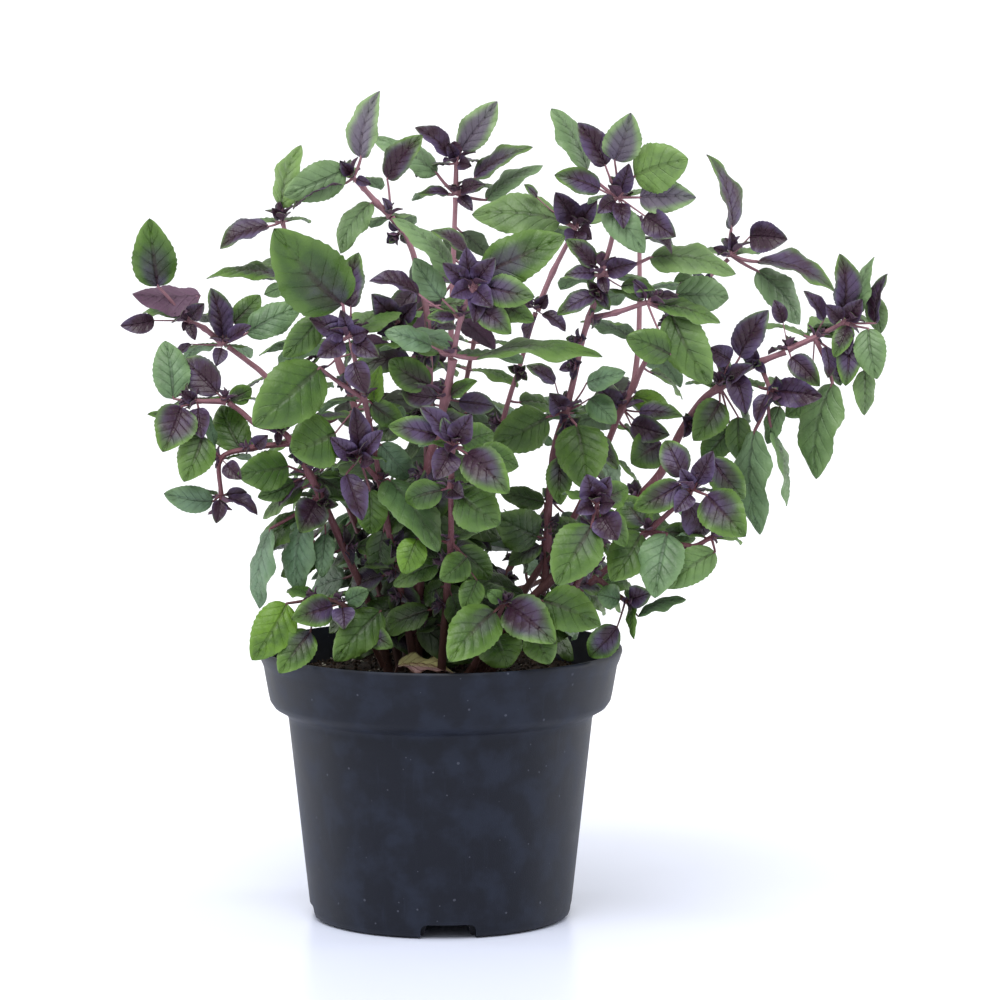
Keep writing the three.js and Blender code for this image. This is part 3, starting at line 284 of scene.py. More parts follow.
        [67, 190.5, 12, 11, 0, -0.2, 57, 200], [33, 213, 2, 6, 0, 0.7, 44, 206],
        [46, 159, 12, 11, 0, 0.3, 47, 178]]],
    ],
    "leaves_centre_right_low": [
      [41, 145, -13, [
        [21.5, 155, 20, 18, 0, 0.05], [23, 164, 4, 9, 0, 0, 40, 160], [26, 136, 6, 8, 0, 0.3],
        [54, 152, -6, 12, 0, 0.2]]],
    ],
    "shoot_centre_low": [
      [4, 166, -68, [
        [23, 151.5, 8, 19, 0, -0.1], [9, 162, 10, 8, 0, 1], [-14, 160, -8, 12, 0, 0.2]]],
      [5, 182, -75, [
        [26, 164, 4, 16, 0, 0.5, 10, 179], [-2, 169, 6, 11, 0, 1], [12, 194, 5, 10, 0, 1],
        [-20, 189.5, 4, 11, 0, 0.5, -1, 186], [-8, 197, 3, 8, 0, 0.9], [1, 193, 2, 6, 0, 0.8],
        [21, 187, -8, 12, 0, 0.1], [30, 174, -9, 12, 0, 0, 14, 180]]],
    ],
    "leaves_centre_low": [
      [4, 145, -51, [
        [-14.5, 132.5, 10, 12, 0, -0.9, -9, 146], [0, 130, 6, 12, 0, 0.05, 10, 139],
        [9, 118, 6, 10, 0, 0, 14, 130], [20, 130, -6, 12, 0, 0.1]]],
    ],
    "shoot_front": [
      [13, 97, -33, []],
      [20, 111, -46, [
        [26, 96.5, 8, 18, 0, 0], [42, 97.5, 4, 14, 0, 0.1, 36, 111], [6, 112, -4, 10, 0, 0.3]]],
      [24.5, 121, -54, [
        [3.5, 98.5, 8, 19, 0, 0.1, 21, 118], [44, 105.5, 8, 18, 0, 0.6, 26, 120],
        [61, 113, 2, 18, 0, 0.05, 39, 122], [18, 126, 2, 6, 0, -0.6]]],
    ],
    "shoot_front_left": [
      [-22, 97, -24, []],
      [-30, 112, -34, [
        [-41, 98.5, 10, 16, 0, 0, -23, 118], [-18, 104, 6, 9, 0, 0.4]]],
      [-38, 121, -38, [
        [-37, 111, 8, 9, 0, 0.8], [-57, 115, 4, 13, 0, 0.45], [-28, 126, 2, 8, 0, -0.2]]],
      [-47, 123, -38, [
        [-72.5, 99, 4, 17, 0, -0.85, -59, 121], [-62, 94, 10, 14, 0, 0.2, -50, 110]]],
    ],
    "leaves_left_low": [
      [-46, 163, -23, [
        [-54, 148.5, 8, 14, 0, 0.7], [-70, 119, 0, 8, 0, -0.4, -65, 150],
        [-55.5, 125, 2, 12, 0, -0.3, -52, 154], [-46, 131, 6, 9, 0, -0.3, -44, 148]]],
    ],
    "shoot_inner_left": [
      [-23, 168, -38, [[-1, 140.5, 22, 16, 0, -0.15, -20, 169]]],
      [-31, 177, -50, [
        [-33, 197, 4, 9, 0, 1], [-22, 188, 6, 7, 0, 1], [-42, 185, 5, 8, 0, 1],
        [-25, 176, 7, 6, 0, 1], [-30, 153, 6, 10, 0, 1, -36, 171],
        [-23, 213, -8, 7, 0, -0.8, -25, 198], [-27, 147, -12, 13, 0, -0.7, -27, 165]]],
    ],
    "shoot_left_front": [
      [-35, 224, -54, [
        [-63, 265, 4, 28, 0, 0.25, -37, 236], [-31.5, 256, 2, 11, 0, 0.6, -34, 235],
        [-60, 216, 4, 12, 0, 0, -46, 231], [-47, 216, 5, 9, 0, 1],
        [-28, 202, 7, 10, 0, 1, -33, 214], [-45, 227, 6, 8, 0, 1], [-27, 226, 6, 7, 0, 1],
        [-38, 234, 6, 6, 0, 1], [-50, 231, 3, 9, 0, 0.9], [-23, 216, 4, 8, 0, 0.9]]],
    ],
    "leaves_left_front": [
      [-29, 200, -48, [
        [-71, 190, 6, 24, 0, -0.05, -46, 212], [-57, 180, 12, 22, 0, 0, -40, 187],
        [-14, 190, -6, 10, 0, 0.2]]],
    ],
    "shoot_high_left_inner": [
      [-5, 222, -11, []],
      [-16, 229, -25, [
        [-26, 240, 4, 10, 0, 0.8], [-9, 237, 4, 7, 0, 1], [-24, 225, 5, 7, 0, 1],
        [9, 217.5, 6, 9, 0, -0.3, -12, 225], [-16, 218, 6, 6, 0, 1]]],
    ],
    "shoot_left": [
      [-82, 199, -30, [[-98, 215, -2, 14, 0, 0.8], [-72, 204, -4, 8, 0, 0.2]]],
      [-93, 199, -32, [
        [-105, 222.5, -2, 15, 0, -0.3, -102, 200], [-106, 180, 4, 17, 0, 0.5, -99, 197],
        [-112, 194, 2, 3, 0, 0.2, -105, 193], [-91, 184.5, 6, 9, 0, 1],
        [-86, 179, 0, 5, 0, -0.3], [-99, 203, 6, 5, 0, 1]]],
    ],
    "shoot_left_hanging": [
      [-57, 183, -26, []],
      [-72, 181, -30, [[-84, 198, -2, 15, 0, 0.05, -76, 180], [-66, 186, 4, 6, 0, 0.9]]],
      [-84, 177, -32, [[-98, 168.5, 3, 15, 0, 0.05, -91, 186], [-76, 169, 2, 7, 0, 0.9, -82, 175]]],
      [-84, 163, -32, [
        [-106, 163.5, 3, 11, 0, -0.3, -87, 160.5], [-70, 155.5, 4, 5, 0, 1],
        [-74, 164, -3, 5, 0, 0.9], [-86, 152, 3, 6, 0, 0.9]]],
    ],
    "leaves_left": [
      [-50, 171, -24, [
        [-77.5, 171, 3, 16, 0, 0, -58, 174], [-70, 162, 6, 9, 0, 0.1, -56, 168],
        [-34, 163, -6, 12, 0, 0.2], [-62, 159, 4, 5, 0, 1]]],
    ],
}

# Shoots grown by rule: [name, layout points of the axis, pairs, longest leaf, first angle].
GROWN_SHOOTS = [
    ["shoot_back_left", [[-38.5, 181, 78], [-47, 198, 84], [-53, 211, 87]], 3, 30, 10],
    ["shoot_back_centre", [[7, 191, 86], [11, 212, 90], [15, 232, 90]], 4, 30, 40],
    ["shoot_back_right", [[50.5, 173, 80], [60, 188, 86], [68, 202, 90]], 3, 30, 70],
    ["shoot_back_left_low", [[-18, 125, 40], [-34, 133, 54], [-50, 146, 64]], 3, 28, 30],
    ["shoot_back_centre_low", [[2, 130, 49], [4, 132, 67], [6, 144, 87]], 3, 28, 0],
    ["shoot_back_right_low", [[22, 125, 43], [40, 130, 57], [58, 142, 69]], 3, 28, 60],
    ["shoot_back_upper_left", [[-38, 212, 44], [-42, 226, 60], [-47, 246, 72]], 3, 26, 20],
    ["shoot_back_upper_right", [[74, 205, 29], [76, 226, 48], [76, 262, 62]], 3, 26, 50],
]

# Rounds on the layout sheet, [across, up, radius]: where side leaves fill the crown, and where
# the crown is open and stays so.
DENSE = [[-18, 210, 12], [100, 190, 16], [-45, 115, 26], [-38, 150, 30], [-30, 190, 32],
         [-88, 185, 22], [-42, 226, 24], [5, 240, 26], [0, 200, 28], [5, 160, 26], [0, 125, 28],
         [60, 115, 24], [70, 150, 28], [52, 185, 20], [110, 165, 20], [88, 190, 16],
         [62, 275, 22], [125, 205, 20], [155, 222, 18], [92, 245, 10]]
OPEN = [[34, 172, 8], [33, 135, 9], [18, 206, 7], [-75, 202, 6], [95, 140, 6], [75, 222, 14],
        [28, 222, 8], [-22, 262, 12], [-70, 225, 7], [48, 245, 8], [-80, 212, 6]]

GAP = 0.3
ROOT_DEPTH = 6
PETIOLE_SHARE = 0.18
LEAF_PROPORTION = 0.58
MOST_LEAN = 0.75
OUTLINE = {"base": 0.55, "tip": 0.8, "scale": 2.49}  # roundness of an ovate blade's ends
VEIN_SLANT, VEIN_CURVE = 0.34, 0.08
FLIPPED, UNDERSIDE = 1, 2
# Each pair of a tuft: its length as a share of the tuft's size, and how far it spreads.
TUFT_PAIRS = ((1.0, 72), (0.9, 55), (0.75, 40), (0.55, 22), (0.4, 8))
GROWN = {"shrink": 0.14, "oldest": -0.3, "gain": 0.9, "rise": 0.15, "young_rise": 0.5,
         "droop": 0.3, "skyward": 0.7}


def paint(code):
    """The linear colour of a hex code."""
    shares = [int(code[i:i + 2], 16) / 255 for i in (0, 2, 4)]
    linear = [s / 12.92 if s <= 0.04045 else ((s + 0.055) / 1.055) ** 2.4 for s in shares]
    return (*linear, 1.0)


def size_prop(name, description, default_mm):
    return FloatProperty(name=name, description=description, default=default_mm * MM,
                         min=0.0, unit="LENGTH", precision=5)


def share_prop(name, description, default):
    return FloatProperty(name=name, description=description, default=default,
                         min=0.0, subtype="FACTOR")


def colour_prop(name, description, code):
    return FloatVectorProperty(name=name, description=description, default=paint(code),
                               size=4, min=0.0, max=1.0, subtype="COLOR")


# ---- settings ----------------------------------------------------------------------------
class BasilPotSettings(bpy.types.PropertyGroup):
    height: size_prop("Height", "Height of the pot", 104.4)
    lip_radius: size_prop("Lip radius", "Radius at the top lip", 70)
    band_top_radius: size_prop("Band top radius", "Radius near the top of the rim band", 68)
    band_low_radius: size_prop("Band low radius", "Radius at the rim band's lower edge", 65.6)
    band_bottom: size_prop("Band bottom", "Height of the rim band's lower edge", 83.5)
    neck_radius: size_prop("Neck radius", "Radius of the wall under the rim band", 58.5)
    neck_height: size_prop("Neck height", "Height at which the wall turns out", 77)
    foot_radius: size_prop("Foot radius", "Radius of the wall at its foot", 50.4)
    wall: size_prop("Wall", "Thickness of the wall", 1.6)
    floor_bottom: size_prop("Floor underside", "Height of the floor's underside", 5.6)
    floor_top: size_prop("Floor top", "Height of the floor's upper side", 7.4)
    foot_ring: size_prop("Foot ring", "Thickness of the ring that it stands on", 3.4)
    centre_pad: size_prop("Middle pad", "Radius of the pad under the floor", 9)
    notch_width: size_prop("Notch width", "Width of each notch in the foot", 21)
    notch_height: size_prop("Notch height", "Height of each notch in the foot", 5.4)
    drain_radius: size_prop("Drain radius", "Radius of each drain hole", 4)
    drain_circle: size_prop("Drain circle", "Radius that the drain holes lie on", 30)
    segments: IntProperty(name="Segments", description="Sides of the pot", default=180, min=36)
    colour: colour_prop("Plastic", "Colour of the plastic", "0d111c")
    worn: colour_prop("Scuffed plastic", "Colour where the plastic is scuffed", "232a3a")
    dust: colour_prop("Dust", "Colour of dust and dried splashes", "6f7280")


class BasilMixSettings(bpy.types.PropertyGroup):
    top: size_prop("Top", "Height of the potting mix's surface", 94.5)
    crumb: size_prop("Crumb", "Size of the largest crumbs", 3.2)
    crumbs: IntProperty(name="Crumbs", description="Loose crumbs on the mix", default=1500, min=0)
    grain: size_prop("Grain", "Size of the largest pale grains", 2.4)
    grains: IntProperty(name="Grains", description="Pale grains on the mix", default=90, min=0)
    dark: colour_prop("Dark crumbs", "Colour of the wet mix", "1d1612")
    light: colour_prop("Light crumbs", "Colour of the drier mix", "4a382a")
    pale: colour_prop("Pale grains", "Colour of the pale grains", "c9c3b4")


class BasilStemSettings(bpy.types.PropertyGroup):
    sides: IntProperty(name="Sides", description="Sides of a main stem", default=16, min=6)
    squareness: share_prop("Squareness", "How square a stem's section is", 0.07)
    swelling: share_prop("Swelling", "How much thicker a stem is at a joint", 0.35)
    woody: colour_prop("Woody", "Colour near the mix", "462d27")
    red: colour_prop("Red", "Colour half way up", "663c44")
    stripe: colour_prop("Stripes", "Colour of the fine stripes along a stem", "a98490")
    mauve: colour_prop("Mauve", "Colour near the leaves", "946b76")


class BasilLeafSettings(bpy.types.PropertyGroup):
    thickness: size_prop("Thickness", "Thickness of a blade", 0.45)
    arch: share_prop("Arch", "Rise of the midrib as a share of the length", 0.09)
    fold_old: FloatProperty(name="Fold, full grown", description="Angle that each half is raised",
                            default=math.radians(13), subtype="ANGLE")
    fold_young: FloatProperty(name="Fold, young", description="Angle that each half is raised",
                              default=math.radians(32), subtype="ANGLE")
    teeth: IntProperty(name="Teeth", description="Teeth along each margin", default=11, min=1)
    tooth: share_prop("Tooth", "Depth of a tooth as a share of the half width", 0.065)
    veins: IntProperty(name="Veins", description="Side veins on each half", default=6, min=1)
    pucker: size_prop("Pucker", "How far the blade swells between its veins", 0.6)
    rib: size_prop("Rib", "How far the midrib stands out underneath", 0.45)
    large: size_prop("Large leaf", "Length from which a blade gets the fine mesh", 19)
    large_side: size_prop("Large side leaf", "The same for side leaves", 27)
    small: size_prop("Small leaf", "Length under which a blade gets the coarse mesh", 9)
    green: colour_prop("Green", "Colour of a full-grown leaf", "38571b")
    deep: colour_prop("Deep green", "Colour of a green leaf's darker patches", "2a451e")
    # Painted light: the lime is the glow of leaves lit through from behind.
    painted_backlit_lime: colour_prop("Lime", "Colour of the lightest leaves", "5c8022")
    # Painted light: the rim colour is the glow of a green leaf's margin lit through from behind.
    rim: colour_prop("Rim", "Colour of a green leaf's rim", "66853e")
    # Painted light: the sage is the blue-green sheen of leaves that face the sky.
    painted_sage_sheen: colour_prop("Sage", "Colour of blue-green leaves", "637f68")
    purple: colour_prop("Purple", "Colour of a young leaf", "321a2b")
    # Painted light: the violet is the bluish sheen of a young leaf's waxy skin.
    painted_violet_sheen: colour_prop("Violet", "Bluish bloom on a young leaf", "584a70")
    # Painted light: a grey sheen on the highest half-grown leaves, and a sunlit green at its edge
    # and on the highest and outermost leaves.
    painted_grey_sheen: colour_prop("Haze", "Greyish bloom on a half-grown leaf", "6a6272")
    painted_sunlit_green: colour_prop("Sunlit green", "Colour of the highest leaves", "86a070")
    inner: colour_prop("Shade", "Cast on the leaves deep inside the crown", "141a0e")
    under: colour_prop("Underside", "Underside of a full-grown leaf", "78946a")
    under_young: colour_prop("Young underside", "Underside of a young leaf", "60455a")
    vein: colour_prop("Vein", "Colour of the veins on a green leaf", "362f33")


class BasilStageSettings(bpy.types.PropertyGroup):
    floor: colour_prop("Floor", "Colour of the floor", "f6f7fb")
    # Painted shadow: the pot's soft bluish shadow on the floor round it.
    near: colour_prop("Floor by the pot", "Colour of the floor close to the pot", "dbe1f4")
    sky: FloatProperty(name="Sky", description="Strength of the even light", default=0.88, min=0)
    key: FloatProperty(name="Key", description="Strength of the main lamp", default=2.2, min=0)
    side: FloatProperty(name="Sides", description="Power of each side lamp", default=6,
                        min=0, unit="POWER")
    focal_length: FloatProperty(name="Focal length", description="Camera's focal length in mm",
                                default=187.84, min=1)


# ---- nodes -------------------------------------------------------------------------------
class Value:
    """One socket of a node tree. Arithmetic on it adds Math or Vector Math nodes."""

    def __init__(self, nodes, socket):
        self.nodes = nodes
        self.socket = socket

    def _is_vector(self):
        return self.socket.type in {"VECTOR", "RGBA"}

    def _sum(self, operation, left, right):
        values = (left, right)
        if any(isinstance(v, Value) and v._is_vector() for v in values):
            return self.nodes.vector(operation, left, right)
        return self.nodes.maths(operation, left, right)

    def __add__(self, other):
        return self._sum("ADD", self, other)

    def __radd__(self, other):
        return self._sum("ADD", other, self)

    def __sub__(self, other):
        return self._sum("SUBTRACT", self, other)

    def __rsub__(self, other):
        return self._sum("SUBTRACT", other, self)

    def __mul__(self, other):
        vectors = [isinstance(v, Value) and v._is_vector() for v in (self, other)]
        if vectors[0] and not vectors[1]:
            return self.nodes.scaled(self, other)
        if vectors[1] and not vectors[0]:
            return self.nodes.scaled(other, self)
        return self._sum("MULTIPLY", self, other)

    __rmul__ = __mul__

    def __truediv__(self, other):
        return self.nodes.maths("DIVIDE", self, other)

    def __pow__(self, other):
        return self.nodes.maths("POWER", self, other)


class Nodes:
    """Adds nodes to one node tree."""

    def __init__(self, tree):
        self.tree = tree

    def add(self, kind, settings=None, inputs=None, output=0):
        """Adds a node, sets it, feeds its sockets, and returns one of its outputs."""
        node = self.tree.nodes.new(kind)
        for name, value in (settings or {}).items():
            setattr(node, name, value)
        for name, value in (inputs or {}).items():
            if isinstance(value, Value):
                self.tree.links.new(value.socket, node.inputs[name])
            else:
                node.inputs[name].default_value = value
        return Value(self, node.outputs[output]) if len(node.outputs) else node

    def maths(self, operation, *values):
        return self.add("ShaderNodeMath", {"operation": operation}, dict(enumerate(values)))

    def vector(self, operation, *values):
        return self.add("ShaderNodeVectorMath", {"operation": operation}, dict(enumerate(values)))

    def scaled(self, vector, number):
        return self.add("ShaderNodeVectorMath", {"operation": "SCALE"},
                        {0: vector, "Scale": number})

    def length(self, vector):
        return self.add("ShaderNodeVectorMath", {"operation": "LENGTH"}, {0: vector}, "Value")

    def parts(self, vector):
        """The three numbers of a vector."""
        node = self.tree.nodes.new("ShaderNodeSeparateXYZ")
        self.tree.links.new(vector.socket, node.inputs[0])
        return [Value(self, output) for output in node.outputs]

    def clamp(self, value):
        return self.maths("MINIMUM", self.maths("MAXIMUM", value, 0.0), 1.0)

    def smooth(self, value, low, high):
        """0 below low, 1 above high, and a smooth step between them."""
        return self.add("ShaderNodeMapRange", {"interpolation_type": "SMOOTHSTEP"},
                        {"Value": value, "From Min": low, "From Max": high})

    def near_whole(self, value):
        """1 where the value is a whole number, and 0 half way between two."""
        return self.maths("ABSOLUTE", self.maths("FRACT", value) - 0.5) * 2

    def mix(self, share, first, second):
        """The colour that is first at 0 and second at 1."""
        return self.add("ShaderNodeMix", {"data_type": "RGBA"}, {0: share, 6: first, 7: second}, 2)

    def noise(self, where, scale, detail=2.0, roughness=0.5):
        return self.add("ShaderNodeTexNoise", {}, {"Vector": where, "Scale": scale,
                                                   "Detail": detail, "Roughness": roughness})


def new_material(name):
    """A material with a Principled surface: (material, its nodes, its surface node)."""
    material = bpy.data.materials.new(name)
    material.use_nodes = True
    surface = material.node_tree.nodes["Principled BSDF"]
    return material, Nodes(material.node_tree), surface


def feed(nodes, surface, **values):
    """Feeds the surface's sockets, named with _ for a space, from values or numbers."""
    for name, value in values.items():
        socket = surface.inputs[name.replace("_", " ")]
        if isinstance(value, Value):
            nodes.tree.links.new(value.socket, socket)
        else:
            socket.default_value = value


def attribute(nodes, name):
    return nodes.add("ShaderNodeAttribute", {"attribute_name": name}, output="Fac")


def object_point(nodes):
    return nodes.add("ShaderNodeTexCoord", output="Object")


def bump(nodes, height, distance_mm, strength=1.0):
    return nodes.add("ShaderNodeBump", {}, {"Height": height, "Distance": distance_mm * MM,
                                            "Strength": strength})


# ---- geometry trees ----------------------------------------------------------------------
class Tree(Nodes):
    """A geometry node tree with named inputs."""

    def __init__(self, name, **inputs):
        super().__init__(bpy.data.node_groups.new(name, "GeometryNodeTree"))
        self.tree.is_modifier = True
        interface = self.tree.interface
        interface.new_socket(name="Geometry", in_out="OUTPUT", socket_type="NodeSocketGeometry")
        interface.new_socket(name="Geometry", in_out="INPUT", socket_type="NodeSocketGeometry")
        for label, default in inputs.items():
            kind = "NodeSocketInt" if isinstance(default, int) else "NodeSocketFloat"
            socket = interface.new_socket(name=label, in_out="INPUT", socket_type=kind)
            socket.default_value = default
        self.entry = self.tree.nodes.new("NodeGroupInput")
        self.exit = self.tree.nodes.new("NodeGroupOutput")

    def input(self, label):
        return Value(self, self.entry.outputs[label])

    def named(self, name, kind="FLOAT"):
        return self.add("GeometryNodeInputNamedAttribute", {"data_type": kind}, {"Name": name})

    def store(self, geometry, name, value, kind="FLOAT"):
        return self.add("GeometryNodeStoreNamedAttribute", {"data_type": kind, "domain": "POINT"},
                        {"Geometry": geometry, "Name": name, "Value": value})

    def real(self, geometry):
        return self.add("GeometryNodeRealizeInstances", {}, {"Geometry": geometry})

    def joined(self, *pieces):
        """The pieces as one real geometry."""
        join = self.tree.nodes.new("GeometryNodeJoinGeometry")
        for piece in pieces:
            self.tree.links.new(piece.socket, join.inputs[0])
        return self.real(Value(self, join.outputs[0]))

    def finish(self, geometry):
        """Ends the tree in the geometry."""
        self.tree.links.new(geometry.socket, self.exit.inputs[0])

    def painted(self, geometry, material):
        return self.add("GeometryNodeSetMaterial", {}, {"Geometry": geometry,
                                                        "Material": material})


def grown(source, tree, name, **inputs):
    """A plain mesh object of what the tree makes from the source, which is then removed."""
    modifier = source.modifiers.new("Grow", "NODES")
    modifier.node_group = tree.tree
    for item in tree.tree.interface.items_tree:
        if item.in_out == "INPUT" and item.name in inputs:
            modifier[item.identifier] = inputs[item.name]
    graph = bpy.context.evaluated_depsgraph_get()
    mesh = bpy.data.meshes.new_from_object(source.evaluated_get(graph), depsgraph=graph,
                                           preserve_all_data_layers=True)
    source.modifiers.remove(modifier)
    discard(source)
    mesh.name = name
    return add_object(name, mesh)


def add_object(name, data):
    made = bpy.data.objects.new(name, data)
    bpy.context.scene.collection.objects.link(made)
    return made


def discard(made):
    mesh = made.data
    bpy.data.objects.remove(made)
    bpy.data.meshes.remove(mesh)


def tubes(tree, geometry, sides):
    """Tubes round the geometry's edges, as thick as its attribute says, squarish in section."""
    line = tree.add("GeometryNodeMeshToCurve", {}, {"Mesh": geometry})
    ring = tree.add("GeometryNodeCurvePrimitiveCircle", {"mode": "RADIUS"},
                    {"Resolution": sides, "Radius": 1.0})
    point = tree.add("GeometryNodeInputPosition")
    x, y, _ = tree.parts(point)
    angle = tree.maths("ARCTAN2", y, x)
    square = 1 + tree.maths("COSINE", angle * 4) * tree.input("Squareness")
    ring = tree.add("GeometryNodeSetPosition", {}, {"Geometry": ring, "Position": point * square})
    skin = tree.add("GeometryNodeCurveToMesh", {}, {
        "Curve": line, "Profile Curve": ring, "Scale": tree.named("thick"), "Fill Caps": True})
    return tree.add("GeometryNodeSetShadeSmooth", {}, {"Geometry": skin})


def stem_tree(material):
    tree = Tree("Stem", Sides=16, Squareness=0.07)
    stem = tree.real(tubes(tree, tree.input("Geometry"), tree.input("Sides")))
    tree.finish(tree.painted(stem, material))
    return tree


def blade_templates(tree, points, length):
    """A flat blade on each leaf point: a fine mesh for long leaves, a coarse one for buds."""
    large, small = tree.input("Large Leaf"), tree.input("Small Leaf")
    is_leaf = tree.named("leaf")
    over_large = tree.maths("GREATER_THAN", length, large)
    over_small = tree.maths("GREATER_THAN", length, small)
    choices = [(34, 11, over_large), (23, 7, over_small - over_large), (7, 3, 1 - over_small)]
    blades = []
    for along, across, chosen in choices:
        flat = tree.add("GeometryNodeMeshCube", {}, {
            "Size": (1, 1, 1), "Vertices X": along, "Vertices Y": across, "Vertices Z": 2})
        flat = tree.store(flat, "template", tree.add("GeometryNodeInputPosition"), "FLOAT_VECTOR")
        blades.append(tree.add("GeometryNodeInstanceOnPoints", {}, {
            "Points": points, "Selection": chosen * is_leaf, "Instance": flat}))
    return tree.joined(*blades)


def vein_line(along, off, count):
    """A value that passes a whole number at each side vein, which slants towards the tip."""
    return (along - off * VEIN_SLANT + off * off * VEIN_CURVE) * count


def shaped_blades(tree, flat):
    """Gives each flat blade its outline, teeth, fold, arch, veins and thickness."""
    along, across, layer = tree.parts(tree.named("template", "FLOAT_VECTOR"))
    along = tree.clamp(along + 0.5)
    across = across * 2
    layer = layer * 2
    off = tree.maths("ABSOLUTE", across)

    blade = tree.named("blade", "FLOAT_VECTOR")
    face = tree.named("face", "FLOAT_VECTOR")
    length = tree.length(blade)
    heading = tree.vector("NORMALIZE", blade)
    side = tree.vector("CROSS_PRODUCT", face, heading)
    young = tree.clamp(tree.named("youth"))
    chance = tree.named("chance")
    crumple = tree.named("crumple")

    body = 4 * along * (1 - along)
    to_tip = tree.maths("MAXIMUM", 1 - along, 0.0)
    outline = OUTLINE["scale"] * along ** OUTLINE["base"] * to_tip ** OUTLINE["tip"]
    tooth = tree.maths("FRACT", along * tree.input("Teeth") + 0.001)
    toothed = tree.clamp(length * 120 - 0.9) * tree.clamp(body * 1.5)
    notch = tree.input("Tooth") * (1 - tooth) * off ** 4 * toothed
    half = tree.named("width") * 0.5 * outline
    fold = tree.input("Fold Old") + (tree.input("Fold Young") - tree.input("Fold Old")) * young
    raised = tree.maths("SQRT", off * off + 0.01) - 0.1

    reach = across * half * (1 - notch)
    lift = (half * raised * tree.maths("SINE", fold)
            - half * off * off * (0.3 - young * 0.22)
            + half * across * (along - 0.3) * (chance - 0.5) * 0.9)
    phase = (along * 1.5 + chance) * math.tau
    wave = half * off * off * (0.09 + crumple) * (
        tree.maths("SINE", phase) + across * tree.maths("COSINE", phase * 1.7))
    line = vein_line(along, off, tree.input("Veins"))
    quilt = tree.maths("COSINE", line * math.tau) * (1 - off * off) * tree.clamp(body * 2)
    pucker = tree.input("Pucker") * tree.clamp(length / 0.03) * quilt
    middle = tree.maths("MAXIMUM", 1 - off * half / 0.0011, 0.0)
    below = tree.maths("LESS_THAN", layer, 0.0)
    rib = tree.input("Rib") * tree.clamp(length / 0.03) * middle * (1 - along * 0.85) * (
        below + 0.35 * (1 - below))
    skin = tree.input("Thickness") * 0.5 * (1 - off * off * 0.6) * layer
    rise = tree.input("Arch") * length * body
    bend = (tree.maths("SINE", chance * 40) * 0.035) * length * body
    droop = (tree.maths("FRACT", chance * 7) * 0.14 - 0.03) * (1 - young * 0.6)
    curl = (crumple + droop) * length * along * along

    place = (tree.named("base", "FLOAT_VECTOR") + blade * along + side * (reach + bend)
             + face * (rise + lift + wave - pucker - rib + skin - curl))
    shaped = tree.add("GeometryNodeSetPosition", {}, {"Geometry": flat, "Position": place})
    for name, value in (("along", along), ("across", across), ("under", below)):
        shaped = tree.store(shaped, name, value)
    merged = tree.add("GeometryNodeMergeByDistance", {}, {"Geometry": shaped, "Distance": 1e-5})
    return tree.add("GeometryNodeSetShadeSmooth", {}, {"Geometry": merged})


def shoot_tree(settings, leaf, bark, large):
    """Turns twig lines and leaf points into a leafy shoot; blades over large get a fine mesh."""
    tree = Tree("Leafy shoot", **{
        "Sides": 8, "Squareness": 0.04, "Thickness": settings.thickness, "Arch": settings.arch,
        "Fold Old": settings.fold_old, "Fold Young": settings.fold_young,
        "Teeth": settings.teeth, "Tooth": settings.tooth, "Veins": settings.veins,
        "Pucker": settings.pucker, "Rib": settings.rib, "Large Leaf": large,
        "Small Leaf": settings.small})
    source = tree.input("Geometry")
    length = tree.length(tree.named("blade", "FLOAT_VECTOR"))
    blades = tree.painted(shaped_blades(tree, blade_templates(tree, source, length)), leaf)
    twigs = tree.painted(tubes(tree, source, tree.input("Sides")), bark)
    tree.finish(tree.joined(blades, twigs))
    return tree


# ---- the plant's layout in space -----------------------------------------------------------
FRAME_ROOM = 1 * MM              # how far hidden leaves keep inside the frame's box
OUTSIDE_ROOM, INSIDE_ROOM, LIP_ROOM = 4 * MM, 6 * MM, 3 * MM   # and off the pot's wall
MIX_ROOM = 2 * MM                # and above the mix
# Hidden leaves shorter than this are left out, and shorter front ones may be covered.
LEAST_LEAF = 8 * MM
SIDE_LEAF = {"first": (12, 20), "length": (20, 29), "step": (9, 13), "turn": 77}
# Tones of side leaves: -0.3 brings in the painted sage sheen.
LOW_TONES = (-0.3, 0.0, 0.0, 0.05, 0.1, 0.15, 0.35, 0.5)
HIGH_TONES = (-0.3, 0.1, 0.3, 0.4, 0.6, 0.8)
LOW_CROWN = 190 * MM             # side leaves under this height are greener

Leaf = namedtuple("Leaf", "start base tip face width youth tone")


def place(across, up, depth):
    """Where a layout point lies in space."""
    on_sheet = Vector((across, 0, up)) * MM
    return EYE.lerp(on_sheet, 1 + depth * MM / -EYE.y)


def square_to(along, wanted):
    return (wanted - along * wanted.dot(along)).normalized()


def towards(start, end, distance):
    return start + (end - start).normalized() * distance


def lean_of(asked, blade, width):
    """How far a blade's tip lies in front of its joint, in mm."""
    needed = math.sqrt(max(0.0, (width / LEAF_PROPORTION) ** 2 - blade ** 2))
    return math.copysign(max(abs(asked), min(needed, MOST_LEAN * blade)), asked) if asked else 0


def face_of(base, tip, width, true_width, flip):
    """The way a leaf's upper side looks."""
    along = (tip - base).normalized()
    front = square_to(along, EYE - base)
    turn = math.acos(min(1.0, width / true_width))
    turned = [Matrix.Rotation(angle, 3, along) @ front for angle in (turn, -turn)]
    up, down = sorted(turned, key=lambda face: -face.z)
    if flip == UNDERSIDE:
        return -up
    return down if flip == FLIPPED else up


